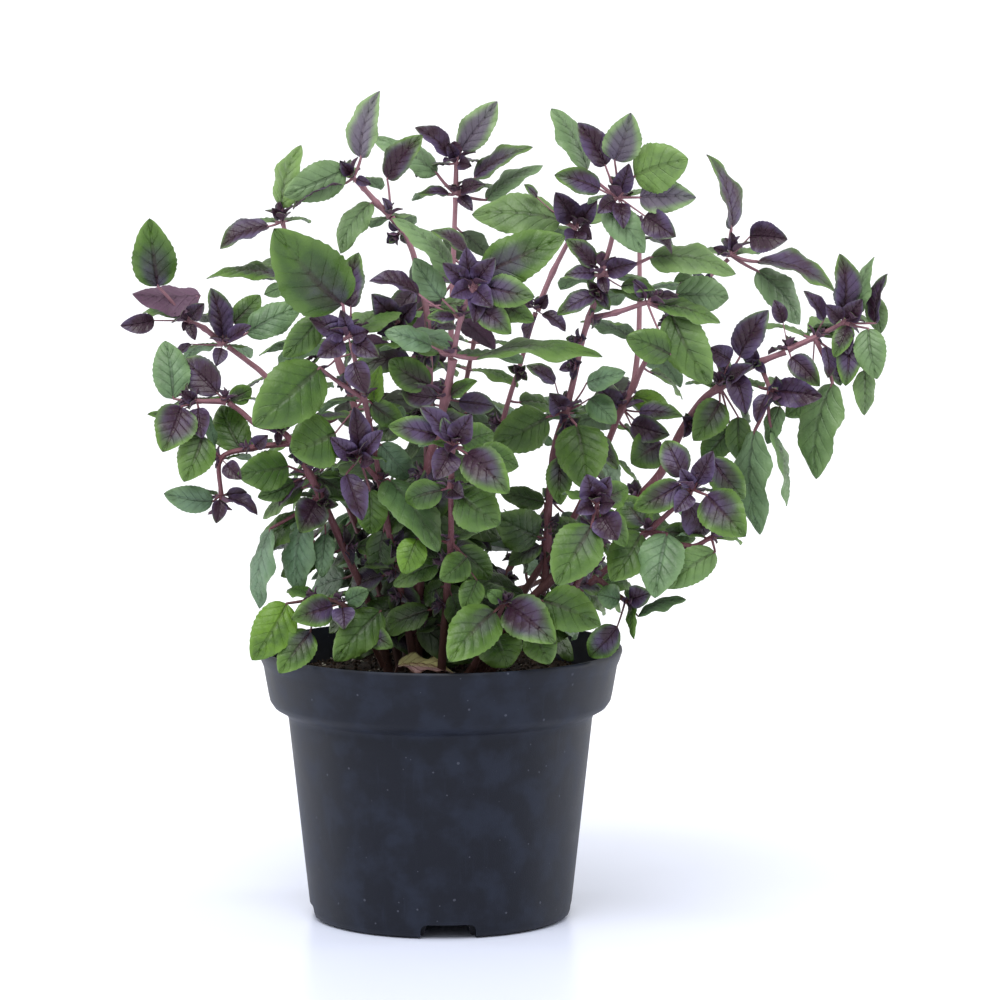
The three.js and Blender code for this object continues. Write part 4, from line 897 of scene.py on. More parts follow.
def laid_out_leaf(joint, row):
    across, up, depth = joint[:3]
    tip_across, tip_up, asked, width, flip, youth = row[:6]
    if len(row) > 6:
        base_across, base_up = row[6:]
    else:
        base_across = across + (tip_across - across) * PETIOLE_SHARE
        base_up = up + (tip_up - up) * PETIOLE_SHARE
    stalk = math.hypot(base_across - across, base_up - up)
    blade = math.hypot(tip_across - base_across, tip_up - base_up)
    lean = lean_of(asked, blade, width)
    base = place(base_across, base_up, depth - lean * stalk / (stalk + blade))
    tip = place(tip_across, tip_up, depth - lean)
    true_width = max(width * MM, LEAF_PROPORTION * (tip - base).length)
    face = face_of(base, tip, width * MM, true_width, flip)
    return Leaf(place(across, up, depth), base, tip, face, true_width, youth, youth)


def catmull_rom(points, steps):
    """Points on the smooth line through the points, steps to each stretch."""
    ends = [points[0] * 2 - points[1], *points, points[-1] * 2 - points[-2]]
    line = []
    for a, b, c, d in zip(ends, ends[1:], ends[2:], ends[3:]):
        for step in range(steps):
            t = step / steps
            line.append(0.5 * (b * 2 + (c - a) * t + (a * 2 - b * 5 + c * 4 - d) * t ** 2
                               + (b * 3 - a - c * 3 + d) * t ** 3))
    return [*line, points[-1]]


def point_at(line, share):
    """The point and direction at a share of the line's length."""
    lengths = [(b - a).length for a, b in zip(line, line[1:])]
    left = share * sum(lengths)
    for a, b, length in zip(line, line[1:], lengths):
        if left <= length:
            return a.lerp(b, left / length), (b - a).normalized()
        left -= length
    return line[-1], (line[-1] - line[-2]).normalized()


def grown_shoot(layout, pairs, longest, first_angle):
    """The axis and leaves of a shoot in opposite pairs, each turned from the last."""
    path = catmull_rom([place(*point) for point in layout], 12)
    axis, leaves = [path[0]], []
    for pair in range(pairs):
        middle, along = point_at(path, (pair + 1) / pairs)
        axis.append(middle)
        across = square_to(along, Vector((1, 0, 0)))
        length = longest * MM * (1 - GROWN["shrink"] * pair)
        youth = GROWN["oldest"] + GROWN["gain"] * pair / pairs
        for turn in (0, 180):
            angle = math.radians(first_angle + 90 * pair + turn)
            out = Matrix.Rotation(angle, 3, along) @ across
            leaves.append(raised_clear(grown_leaf(middle, out, along, length, youth)))
    return axis, leaves


def grown_leaf(middle, out, along, length, youth):
    base = middle + out * length * PETIOLE_SHARE
    heading = out + along * (GROWN["rise"] + GROWN["young_rise"] * max(0.0, youth))
    heading.z -= GROWN["droop"] * (1 - youth)
    heading.normalize()
    face = square_to(heading, along + Vector((0, 0, GROWN["skyward"])))
    tip = base + heading * length
    return Leaf(middle, base, tip, face, length * LEAF_PROPORTION, youth, max(youth, -0.05))


def tuft(at, along, size, draws):
    """Tiny cupped leaves round a growing tip, in pairs, the inner ones more upright."""
    across = square_to(along, Vector((0.3, 0.2, 1)) if abs(along.z) < 0.8 else Vector((1, 0, 0)))
    spin = draws.uniform(0, 90)
    leaves = []
    for pair, (share, spread) in enumerate(TUFT_PAIRS):
        for turn in (0, 180):
            angle = math.radians(spin + 90 * pair + turn + draws.uniform(-25, 25))
            out = Matrix.Rotation(angle, 3, along) @ across
            lean = math.radians(spread + draws.uniform(-14, 14))
            heading = out * math.sin(lean) + along * math.cos(lean)
            base = at + along * size * 0.12 * pair + heading * size * 0.12
            length = size * share * draws.uniform(0.65, 1.25)
            leaves.append(Leaf(at, base, base + heading * length, square_to(heading, along),
                               length * draws.uniform(0.6, 0.75), 1.0,
                               draws.uniform(0.55, 1.0)))
    return leaves


def fits_in_frame(point):
    low, high = CAD_BOX
    return all(low[i] + FRAME_ROOM < point[i] < high[i] - FRAME_ROOM for i in range(3))


def clear_of_pot(base, tip):
    """Whether a blade keeps off the pot's wall and out of the potting mix."""
    pot, mix = bpy.context.scene.basil_pot, bpy.context.scene.basil_mix
    for step in range(1, 10):
        point = base.lerp(tip, step / 8)
        out = point.xy.length
        is_outside = out > pot.lip_radius + OUTSIDE_ROOM
        in_wall = out > pot.band_low_radius - INSIDE_ROOM and point.z < pot.height + LIP_ROOM
        if not is_outside and (in_wall or point.z < mix.top + MIX_ROOM):
            return False
    return True


def raised_clear(leaf):
    """The leaf with its tip raised until it keeps off the pot."""
    tip = leaf.tip.copy()
    for _ in range(12):
        if clear_of_pot(leaf.base, tip):
            break
        tip.z += 2 * MM
    heading = (tip - leaf.base).normalized()
    return leaf._replace(tip=tip, face=square_to(heading, leaf.face))


def hind_leaves(at, along, length, tone, draws):
    """A pair of leaves behind a joint, where the leaves laid out in front of it hide them."""
    away = (at - EYE).normalized()
    leaves = []
    for side in (-1, 1):
        heading = away + Vector((side * draws.uniform(0.35, 1.1), 0, draws.uniform(-0.35, 0.3)))
        heading.normalize()
        reach = length * draws.uniform(0.7, 1.0)
        while reach > LEAST_LEAF and not fits_in_frame(at + heading * reach * 1.25):
            reach *= 0.8
        if reach <= LEAST_LEAF:
            continue
        base = at + heading * reach * 0.2
        if not clear_of_pot(base, base + heading * reach):
            continue
        face = square_to(heading, Vector((0, 0, 1)) + along * 0.5)
        leaves.append(Leaf(at, base, base + heading * reach, face, reach * LEAF_PROPORTION,
                           tone, tone))
    return leaves


def laid_out_shoot(joints, draws):
    """The axis and leaves of a laid-out shoot, with its tufts and hidden leaves."""
    axis = [place(*joint[:3]) for joint in joints]
    leaves = []
    for index, joint in enumerate(joints):
        rows = [laid_out_leaf(joint, row) for row in joint[3]]
        leaves += rows
        if not rows:
            continue
        at = axis[index]
        along = (at - axis[index - 1]).normalized() if index else Vector((0, 0, 1))
        along = (along + Vector((0, 0, 0.4))).normalized()
        is_end = index == len(joints) - 1
        young = sum(leaf.youth >= 0.8 for leaf in rows)
        leaves += tuft(at, along, (7.5 if is_end and young else 5) * MM, draws)
        longest = max((leaf.tip - leaf.base).length for leaf in rows)
        tone = min(leaf.tone for leaf in rows)
        if longest > 13 * MM:
            leaves += hind_leaves(at, along, longest * 0.85, max(tone, -0.1), draws)
    return axis, leaves


def on_sheet(point):
    """The layout point (across, up, depth) in mm of a point in space."""
    scale = (point.y - EYE.y) / -EYE.y
    sheet = EYE + (point - EYE) / scale
    return sheet.x / MM, sheet.z / MM, (scale - 1) * -EYE.y / MM


def inside(across, up, rounds, spare=0.0):
    return any(math.hypot(across - x, up - z) < radius + spare for x, z, radius in rounds)


def hides(across, up, depth, length, shown):
    """Whether a leaf there would cover one of the shown leaves."""
    return any(math.hypot(across - x, up - z) < 0.5 * (length + reach) and depth < behind + 3
               for x, z, behind, reach in shown)


def shown_leaves():
    """Where the laid-out leaves' middles are, with their lengths: (across, up, depth, length)."""
    leaves = [laid_out_leaf(joint, row) for joints in SHOOTS.values()
              for joint in joints for row in joint[3]]
    return [(*on_sheet((leaf.base + leaf.tip) / 2), (leaf.tip - leaf.base).length / MM)
            for leaf in leaves if (leaf.tip - leaf.base).length > LEAST_LEAF]


def side_leaves(line, shown, draws):
    """Leaves in opposite pairs along a stem where the crown is dense, with buds between them."""
    total = sum((b - a).length for a, b in zip(line, line[1:]))
    leaves, up, turn = [], draws.uniform(*SIDE_LEAF["first"]) * MM, draws.uniform(0, 90)
    while up < total - 4 * MM:
        at, along = point_at(line, up / total)
        across = square_to(along, Vector((1, 0, 0.1)))
        length = draws.uniform(*SIDE_LEAF["length"]) * MM * (1 - 0.2 * up / total)
        tone = draws.choice(LOW_TONES if at.z < LOW_CROWN else HIGH_TONES)
        for side in (0, 180):
            angle = math.radians(turn + side + draws.uniform(-20, 20))
            out = Matrix.Rotation(angle, 3, along) @ across
            if out.y < 0:
                out.y *= -0.6
            heading = out + along * draws.uniform(0.0, 0.3)
            heading.z -= draws.uniform(0.2, 1.0)
            heading.normalize()
            base = at + heading * length * draws.uniform(0.18, 0.35)
            tip = base + heading * length
            middle = on_sheet((base + tip) / 2)
            if not (inside(*middle[:2], DENSE) and inside(*on_sheet(tip)[:2], DENSE, 3)
                    and fits_in_frame(tip) and clear_of_pot(base, tip)):
                continue
            if inside(*middle[:2], OPEN, 5) or hides(*middle, length / MM, shown):
                continue
            away = Vector((at.x, at.y - 25 * MM, 0)).normalized()
            face = square_to(heading, away * draws.uniform(0.7, 1.3)
                             + Vector((0, 0, draws.uniform(0.5, 0.9))))
            leaves.append(Leaf(at, base, tip, face, length * LEAF_PROPORTION, tone, tone))
        if draws.random() < 0.45 and at.z > 0.11:
            leaves += tuft(at, square_to(along, Vector((draws.uniform(-1, 1), -0.6, 0.5))),
                           draws.uniform(4.5, 7) * MM, draws)
        up += draws.uniform(*SIDE_LEAF["step"]) * MM
        turn += SIDE_LEAF["turn"]
    return leaves


# ---- meshes for the geometry trees ---------------------------------------------------------
def line_mesh(name, lines, leaves=()):
    """A mesh of lines, each a row of (point, thickness), and of one loose point for each leaf."""
    points = [point for line in lines for point, _ in line]
    edges, start = [], 0
    for line in lines:
        edges += [(start + i, start + i + 1) for i in range(len(line) - 1)]
        start += len(line)
    mesh = bpy.data.meshes.new(name)
    mesh.from_pydata([*points, *(leaf.base for leaf in leaves)], edges, [])
    thick = [thickness for line in lines for _, thickness in line]
    blank = [0.0] * len(points)
    still = [Vector((0, 0, 1))] * len(points)
    draws = random.Random(len(points) + 7 * len(leaves))
    columns = {
        "thick": ("FLOAT", thick + [0.0] * len(leaves)),
        "leaf": ("FLOAT", blank + [1.0] * len(leaves)),
        "width": ("FLOAT", blank + [leaf.width for leaf in leaves]),
        "youth": ("FLOAT", blank + [leaf.youth for leaf in leaves]),
        "tone": ("FLOAT", blank + [leaf.tone for leaf in leaves]),
        "chance": ("FLOAT", blank + [draws.random() for _ in leaves]),
        "crumple": ("FLOAT", blank + [0.0 for _ in leaves]),
        "base": ("FLOAT_VECTOR", still + [leaf.base for leaf in leaves]),
        "blade": ("FLOAT_VECTOR", still + [leaf.tip - leaf.base for leaf in leaves]),
        "face": ("FLOAT_VECTOR", still + [leaf.face for leaf in leaves]),
    }
    for label, (kind, values) in columns.items():
        column = mesh.attributes.new(label, kind, "POINT")
        if kind == "FLOAT":
            column.data.foreach_set("value", values)
        else:
            column.data.foreach_set("vector", [x for value in values for x in value])
    return mesh


def petiole(leaf):
    """A bowed stalk from the joint into the blade's midrib."""
    blade = leaf.tip - leaf.base
    thick = min(0.72 * MM, max(0.24 * MM, blade.length * 0.021))
    bow = leaf.face * (leaf.base - leaf.start).length * -0.12
    middle = leaf.start.lerp(leaf.base, 0.5) + bow
    line = []
    for step in range(6):
        t = step / 5
        point = leaf.start.lerp(middle, t).lerp(middle.lerp(leaf.base, t), t)
        line.append((point, thick * (1.25 - 0.35 * t)))
    inside = leaf.base + blade * 0.06 + leaf.face * blade.length * 0.012
    return [*line, (inside, thick * 0.45)]


def twig(axis):
    """The twig that a shoot's joints sit on, a little thicker at each joint."""
    line = catmull_rom(axis, 5)
    radius = [1.15 * MM - 0.35 * MM * i / (len(line) - 1) for i in range(len(line))]
    thick = [r * (1.3 if i % 5 == 0 else 1.0) for i, r in enumerate(radius)]
    return list(zip(line, thick))


def joints_on(line):
    """The shoots' first joints that lie on a stem's line."""
    firsts = [place(*joints[0][:3]) for joints in SHOOTS.values()]
    firsts += [place(*row[1][0]) for row in GROWN_SHOOTS]
    return [p for p in firsts if min((p - q).length for q in line) < 3 * MM]


def stem_line(foot, layout, base_radius, tip_radius, swelling):
    """A main stem from under the mix's surface to its end, swollen at its joints."""
    top = bpy.context.scene.basil_mix.top
    start = Vector((foot[0] * MM, foot[1] * MM, top - ROOT_DEPTH * MM))
    points = [start, *(place(*point) for point in layout)]
    steps = 8
    line = catmull_rom(points, steps)
    joints = joints_on(line)
    bare = [point_at(line, share)[0] for share in (0.3, 0.5)]
    thickened = []
    for i, point in enumerate(line):
        radius = base_radius + (tip_radius - base_radius) * i / (len(line) - 1)
        near = min([(point - joint).length for joint in joints] or [1.0])
        scar = min((point - old).length for old in bare)
        lump = swelling * math.exp(-(near / (2.6 * MM)) ** 2)
        lump += swelling * 0.4 * math.exp(-(scar / (2.2 * MM)) ** 2)
        flare = 0.35 * max(0.0, 1 - i / steps)
        thickened.append((point, radius * MM * (1 + lump + flare)))
    return thickened


# ---- finishes ------------------------------------------------------------------------------
def leaf_finish(settings):
    """Green leaves, purple when young and round their base, with pale rims and undersides. Painted
    light: backlit lime leaves and rims, a sage and a violet sheen, a grey sheen and sunlit green
    high in the crown, and painted shade deep inside it.
    """
    material, nodes, surface = new_material("Basil leaf")
    along, tone = attribute(nodes, "along"), attribute(nodes, "tone")
    off = nodes.maths("ABSOLUTE", attribute(nodes, "across"))
    under, chance = attribute(nodes, "under"), attribute(nodes, "chance")
    where = object_point(nodes)
    patches = nodes.noise(where, 95.0, 3.0)
    mottle = nodes.noise(where, 420.0, 2.0)
    fine = nodes.noise(where, 1400.0, 2.0)

    young = nodes.clamp(tone)
    apart = nodes.near_whole(vein_line(along, off, float(settings.veins)))
    side_veins = nodes.smooth(apart, 0.82, 1.0) * (1 - off * 0.8)
    midrib = nodes.smooth(off, 0.13, 0.02) * (1 - along * 0.5)
    veins = nodes.clamp(side_veins * 0.45 + midrib * 0.85)

    # The rim and tip masks: painted backlight along a green leaf's margin and tip, which also keep
    # a young leaf green at its edge and tip.
    rim = nodes.smooth(off + (patches - 0.5) * 0.3, 0.4, 1.05)
    tip = nodes.smooth(along + (patches - 0.5) * 0.3, 0.45, 1.0)
    middle = (1 - along) * (1 - off * 0.75)
    # Tones below 0, full at -0.3, turn to the painted sage sheen.
    is_sage = nodes.smooth(tone, -0.05, -0.3)
    spread = (young * 1.3 + middle * (0.35 + young * 0.7) * (1 - is_sage * 0.8)
              - rim * (0.7 - young * 0.4) - tip * (0.6 - young * 0.3)
              + (patches - 0.5) * 0.5 + (chance - 0.5) * 0.2 + veins * 0.15 - 0.08)
    purple_share = nodes.smooth(spread, 0.05, 1.0)

    # Tones from -0.42 down turn to the painted backlit lime, and random patches get some of it too.
    is_lime = nodes.smooth(tone, -0.42, -0.75)
    green = nodes.mix(is_sage * 0.85, settings.green, settings.painted_sage_sheen)
    green = nodes.mix(is_lime, green, settings.painted_backlit_lime)
    light = nodes.clamp((mottle - 0.4) * 0.5 + (patches - 0.4) * 0.6 + (chance - 0.5) * 0.4)
    green = nodes.mix(light * 0.6, green, settings.painted_backlit_lime)
    shaded = nodes.smooth(patches, 0.56, 0.36) * 0.5 + nodes.smooth(mottle, 0.55, 0.35) * 0.2
    green = nodes.mix(shaded * (1 - rim), green, settings.deep)
    # Painted backlight on the rim and the tip.
    green = nodes.mix(nodes.clamp(rim * 0.5 + tip * 0.25) * (1 - is_sage * 0.5), green,
                      settings.rim)
    green = nodes.mix(nodes.clamp(veins * (0.08 + middle * 0.42)), green, settings.vein)
    # Painted sheen: young leaves turn bluish violet in patches and towards their rim.
    sheen = nodes.clamp(nodes.smooth(patches, 0.35, 0.65) * 0.6 + off * 0.25 + rim * 0.25
                        - veins * 0.6 - young * 0.25)
    purple = nodes.mix(sheen, settings.purple, settings.painted_violet_sheen)
    top = nodes.mix(purple_share, green, purple)
    # Painted sheen: half-grown leaves high in the crown turn grey, paler towards their edge.
    half_young = nodes.smooth(tone, 0.31, 0.36) * nodes.smooth(tone, 0.52, 0.44)
    up = nodes.parts(where)[2]
    aside = nodes.length(nodes.vector("MULTIPLY", where, (1.0, 1.0, 0.0)))
    high = nodes.smooth(up, 0.235, 0.27)
    edge = nodes.smooth(off + along * 0.35 + (patches - 0.5) * 0.4, 0.55, 1.15)
    painted_grey_sheen = nodes.mix(edge, settings.painted_grey_sheen, settings.painted_sunlit_green)
    top = nodes.mix(nodes.clamp(half_young * high * 0.75 - veins * 0.25), top, painted_grey_sheen)
    # Painted sunlight: green leaves high up and far out in the crown turn paler.
    outer = nodes.clamp(nodes.smooth(up, 0.2, 0.28) + nodes.smooth(aside, 0.085, 0.13) * 0.8)
    painted_sunlight = nodes.smooth(tone, 0.25, 0.0) * outer
    top = nodes.mix(nodes.clamp(painted_sunlight * (0.15 + patches * 0.35) - veins * 0.2), top,
                    settings.painted_sunlit_green)
    # Painted shade: leaves deep inside the crown, near the axis and low down, are darkened.
    inner = nodes.smooth(aside, 0.065, 0.03) * nodes.smooth(up, 0.23, 0.15)
    top = nodes.mix(inner * 0.5, top, settings.inner)

    below = nodes.mix(nodes.clamp(young * 1.7 + middle * 0.3), settings.under,
                      settings.under_young)
    below = nodes.mix(veins * 0.5, below, settings.purple)
    colour = nodes.mix(under, top, below)
    # Fine specks of the painted backlit rim green.
    speckled = nodes.mix(nodes.smooth(fine, 0.6, 0.75) * 0.15, colour, settings.rim)
    height = veins * -0.8 + fine * 0.2 + mottle * 0.5 + patches * 0.3
    feed(nodes, surface, Base_Color=speckled, Roughness=0.36 + patches * 0.16 + under * 0.15,
         Normal=bump(nodes, height, 0.7, 0.9), Specular_IOR_Level=0.38)
    return material


def bark_finish(settings):
    """Woody brown by the mix, red half way up and mauve near the leaves, finely striped."""
    material, nodes, surface = new_material("Basil stem")
    where = object_point(nodes)
    up = nodes.parts(where)[2]
    blotch = nodes.noise(where, 140.0, 3.0)
    stretched = nodes.vector("MULTIPLY", where, (1.0, 1.0, 0.06))
    stripes = nodes.noise(stretched, 2600.0, 2.0)
    share = nodes.smooth(up + (blotch - 0.5) * 0.05, 0.1, 0.16)
    colour = nodes.mix(share, settings.woody, settings.red)
    colour = nodes.mix(nodes.smooth(up + (blotch - 0.5) * 0.08, 0.165, 0.25), colour,
                       settings.mauve)
    colour = nodes.mix(nodes.smooth(stripes, 0.5, 0.75) * share * 0.3, colour,
                       settings.stripe)
    colour = nodes.mix(nodes.smooth(blotch, 0.55, 0.75) * 0.4, colour, paint("4c2a33"))
    feed(nodes, surface, Base_Color=colour, Roughness=0.5 + blotch * 0.2,
         Normal=bump(nodes, stripes + blotch * 0.4, 0.12, 0.6), Specular_IOR_Level=0.3)
    return material


def plastic_finish(settings):
    """Matt black plastic with moulding grain, scuffs on its edges, dust and dried splashes."""
    material, nodes, surface = new_material("Pot plastic")
    where = object_point(nodes)
    grain = nodes.noise(where, 2600.0, 2.0)
    cloud = nodes.noise(where, 85.0, 6.0)
    streak = nodes.noise(nodes.vector("MULTIPLY", where, (1.0, 1.0, 0.05)), 420.0, 3.0)
    cells = nodes.add("ShaderNodeTexVoronoi", {"feature": "F1"},
                      {"Vector": where, "Scale": 260.0, "Randomness": 1.0})
    speck_size = nodes.noise(where, 300.0, 1.0)
    specks = nodes.smooth(cells + (speck_size - 0.5) * 0.6, 0.05, 0.01)
    colour = nodes.mix(nodes.smooth(cloud, 0.42, 0.68) * 0.45, settings.colour, settings.worn)
    colour = nodes.mix(nodes.smooth(streak, 0.6, 0.78) * 0.22, colour, settings.worn)
    edges = nodes.add("ShaderNodeNewGeometry", output="Pointiness")
    worn_edge = nodes.smooth(edges, 0.52, 0.6) * nodes.smooth(cloud, 0.35, 0.6)
    colour = nodes.mix(worn_edge * 0.5, colour, settings.worn)
    colour = nodes.mix(specks * 0.28, colour, settings.dust)
    feed(nodes, surface, Base_Color=colour, Roughness=0.38 + cloud * 0.2 + specks * 0.2,
         Normal=bump(nodes, grain + cloud * 0.5 + specks * 0.6, 0.08, 0.6),
         Specular_IOR_Level=0.22)
    return material


def mix_finish(settings):
    """Dark damp potting mix, crumb by crumb."""
    material, nodes, surface = new_material("Potting mix")
    where = object_point(nodes)
    lumps = nodes.noise(where, 320.0, 4.0, 0.65)
    grains = nodes.noise(where, 1500.0, 3.0)
    colour = nodes.mix(nodes.smooth(lumps, 0.35, 0.7), settings.dark, settings.light)
    colour = nodes.mix(nodes.smooth(grains, 0.66, 0.74) * 0.5, colour, settings.pale)
    feed(nodes, surface, Base_Color=colour, Roughness=0.75 + lumps * 0.2,
         Normal=bump(nodes, lumps + grains * 0.5, 0.9), Specular_IOR_Level=0.3)
    return material


def grain_finish(settings):
    """Pale pitted mineral grains."""
    material, nodes, surface = new_material("Pale grain")
    where = object_point(nodes)
    pits = nodes.noise(where, 2400.0, 3.0)
    stain = nodes.noise(where, 300.0, 2.0)
    colour = nodes.mix(nodes.smooth(stain, 0.45, 0.7) * 0.6, settings.pale, settings.light)
    feed(nodes, surface, Base_Color=colour, Roughness=0.8 + pits * 0.15,
         Normal=bump(nodes, pits, 0.4))
    return material


def dry_leaf_finish():
    """A withered leaf: straw yellow with pink veins and brown edges."""
    material, nodes, surface = new_material("Dry leaf")
    where = object_point(nodes)
    along, across = attribute(nodes, "along"), attribute(nodes, "across")
    off = nodes.maths("ABSOLUTE", across)
    blotch = nodes.noise(where, 260.0, 3.0)
    colour = nodes.mix(nodes.smooth(blotch, 0.45, 0.75) * 0.5, paint("d2cb8c"), paint("a07a62"))
    colour = nodes.mix(nodes.smooth(across, 0.1, -0.5) * 0.8, colour, paint("9a6a80"))
    apart = nodes.near_whole((along - off * VEIN_SLANT) * 6.0)
    veins = nodes.clamp(nodes.smooth(apart, 0.85, 1.0) + nodes.smooth(off, 0.12, 0.02))
    colour = nodes.mix(veins * 0.6, colour, paint("8c4a55"))
    colour = nodes.mix(nodes.smooth(off + blotch * 0.3, 0.9, 1.15), colour, paint("5d4334"))
    feed(nodes, surface, Base_Color=colour, Roughness=0.6 + blotch * 0.2,
         Normal=bump(nodes, veins + blotch * 0.6, 0.4))
    return material


def finish_named(name, maker, *arguments):
    """The material of that name, made the first time it is asked for."""
    return bpy.data.materials.get(name) or maker(*arguments)


def mount_piece(made, slot, *nodes):
    """The piece rides on the frame and stands for its nodes, which are hidden. The slot is not
    used.
    """
    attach(made, BODY)
    if nodes:
        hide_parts(*nodes)


# ---- pot -----------------------------------------------------------------------------------
def pot_outline(pot):
    """The pot's section, [radius, height], from the middle of its underside out and back in."""
    lip, foot, wall = pot.lip_radius, pot.foot_radius, pot.wall
    low, top, neck = pot.band_low_radius, pot.band_top_radius, pot.neck_radius
    inner_foot = foot - 3 * MM - pot.foot_ring
    rows = [(0, 0), (pot.centre_pad - 0.4 * MM, 0), (pot.centre_pad, 0.4 * MM),
            (pot.centre_pad + 1 * MM, pot.floor_bottom), (inner_foot, pot.floor_bottom),
            (inner_foot + 0.3 * MM, 0.4 * MM), (inner_foot + 0.8 * MM, 0)]
    rows += [(foot - 3 * MM, 0), (foot - 1.6 * MM, 0.3 * MM), (foot - 0.6 * MM, 1.2 * MM),
             (foot, 3 * MM)]
    rows += [(foot + (neck - foot) * share, 3 * MM + (pot.neck_height - 3 * MM) * share)
             for share in (0.01, 0.25, 0.5, 0.75, 0.985)]
    rows += [(neck, pot.neck_height), (neck + 0.5 * MM, pot.neck_height + 1.5 * MM),
             (neck + 1.5 * MM, pot.neck_height + 2.6 * MM),
             (low - 1.6 * MM, pot.band_bottom - 1.6 * MM), (low - 0.5 * MM, pot.band_bottom),
             (low, pot.band_bottom + 0.8 * MM), (low + 0.6 * MM, pot.band_bottom + 3.5 * MM)]
    rows += [(low + 0.6 * MM + (top - low - 0.6 * MM) * share,
              pot.band_bottom + 3.5 * MM
              + (pot.height - 10.5 * MM - pot.band_bottom) * share) for share in (0.4, 0.8, 1)]
    rows += [(top + 0.35 * MM, pot.height - 6 * MM), (top + 1.0 * MM, pot.height - 4.6 * MM),
             (lip - 0.45 * MM, pot.height - 2.8 * MM), (lip, pot.height - 1.5 * MM),
             (lip - 0.15 * MM, pot.height - 0.5 * MM), (lip - 0.6 * MM, pot.height),
             (lip - wall + 0.3 * MM, pot.height), (lip - wall, pot.height - 0.5 * MM)]
    rows += [(top - wall, pot.height - 7 * MM), (low + 0.6 * MM - wall, pot.band_bottom + 3.5 * MM),
             (low - wall - 0.6 * MM, pot.band_bottom + 1 * MM), (neck, pot.neck_height + 3.6 * MM),
             (neck - wall, pot.neck_height), (foot - wall, pot.floor_top + 1.5 * MM),
             (foot - wall - 1.5 * MM, pot.floor_top), (0, pot.floor_top)]
    return rows


def turned(name, outline, segments):
    """A closed mesh made by turning an outline, which starts and ends on the axis."""
    middle = outline[1:-1]
    corners = [(0, 0, outline[0][1]), (0, 0, outline[-1][1])]
    for radius, height in middle:
        corners += [(radius * math.cos(turn), radius * math.sin(turn), height)
                    for turn in (math.tau * i / segments for i in range(segments))]
    faces = []
    for i in range(segments):
        n = (i + 1) % segments
        faces.append((0, 2 + n, 2 + i))
        for row in range(len(middle) - 1):
            a, b = 2 + row * segments, 2 + (row + 1) * segments
            faces.append((a + i, a + n, b + n, b + i))
        last = 2 + (len(middle) - 1) * segments
        faces.append((1, last + i, last + n))
    mesh = bpy.data.meshes.new(name)
    mesh.from_pydata(corners, [], faces)
    return add_object(name, mesh)


def notch_cutters(pot, count=4, azimuth=3.9):
    """Round-cornered blocks that cut the notches into the foot."""
    half, top, soft = pot.notch_width / 2, pot.notch_height, 2.4 * MM
    arch = [(-half, -3 * MM), (half, -3 * MM), (half, top - soft)]
    arch += [(half - soft + soft * math.cos(t), top - soft + soft * math.sin(t))
             for t in (math.radians(a) for a in (22, 45, 68, 90))]
    arch += [(-x, z) for x, z in reversed(arch[2:])]
    cutters = []
    for i in range(count):
        turn = Matrix.Rotation(math.radians(azimuth) + math.tau * i / count, 4, "Z")
        rows = [(x, y, z) for y in (-pot.foot_radius - 7 * MM, -pot.foot_radius + 7 * MM)
                for x, z in arch]
        sides = len(arch)
        faces = [tuple(range(sides)), tuple(range(2 * sides - 1, sides - 1, -1))]
        faces += [((n := (k + 1) % sides), k, k + sides, n + sides) for k in range(sides)]
        mesh = bpy.data.meshes.new("notch")
        mesh.from_pydata([turn @ Vector(row) for row in rows], [], faces)
        cutters.append(add_object("notch", mesh))
    return cutters


def drain_cutters(pot, count=6):
    cutters = []
    for i in range(count):
        cutter = turned("drain", [(0, 2 * MM), (pot.drain_radius, 2 * MM),
                                  (pot.drain_radius, 12 * MM), (0, 12 * MM)], 32)
        around = math.tau * (i + 0.5) / count
        shift = Vector((math.cos(around), math.sin(around), 0)) * pot.drain_circle
        cutter.data.transform(Matrix.Translation(shift))
        cutters.append(cutter)
    return cutters


def cut(body, cutters):
    """Cuts the cutters out of a body, and removes them."""
    for cutter in cutters:
        tool = body.modifiers.new("Cut", "BOOLEAN")
        tool.operation, tool.solver, tool.object = "DIFFERENCE", "EXACT", cutter
    graph = bpy.context.evaluated_depsgraph_get()
    mesh = bpy.data.meshes.new_from_object(body.evaluated_get(graph), depsgraph=graph)
    body.modifiers.clear()
    old, body.data = body.data, mesh
    bpy.data.meshes.remove(old)
    for cutter in cutters:
        discard(cutter)


def soft_shaded(mesh, angle):
    """Smooth shading that keeps edges sharper than the angle."""
    mesh.shade_smooth()
    mesh.set_sharp_from_angle(angle=math.radians(angle))


class BASIL_OT_pot(bpy.types.Operator):
    """Makes the nursery pot with its rim band, foot notches and drain holes"""

    bl_idname = "basil.pot"
    bl_label = "Pot"

    def execute(self, context):
        pot = context.scene.basil_pot
        made = turned("nursery_pot", pot_outline(pot), pot.segments)
        cut(made, notch_cutters(pot) + drain_cutters(pot))
        made.data.name = made.name
        made.data.materials.clear()
        made.data.materials.append(finish_named("Pot plastic", plastic_finish, pot))
        soft_shaded(made.data, 40)
        mount_piece(made, "pot_plastic", "pot")
        return {"FINISHED"}


# ---- potting mix ---------------------------------------------------------------------------
MIX_SURFACE = 62 * MM            # crumbs lie within this radius


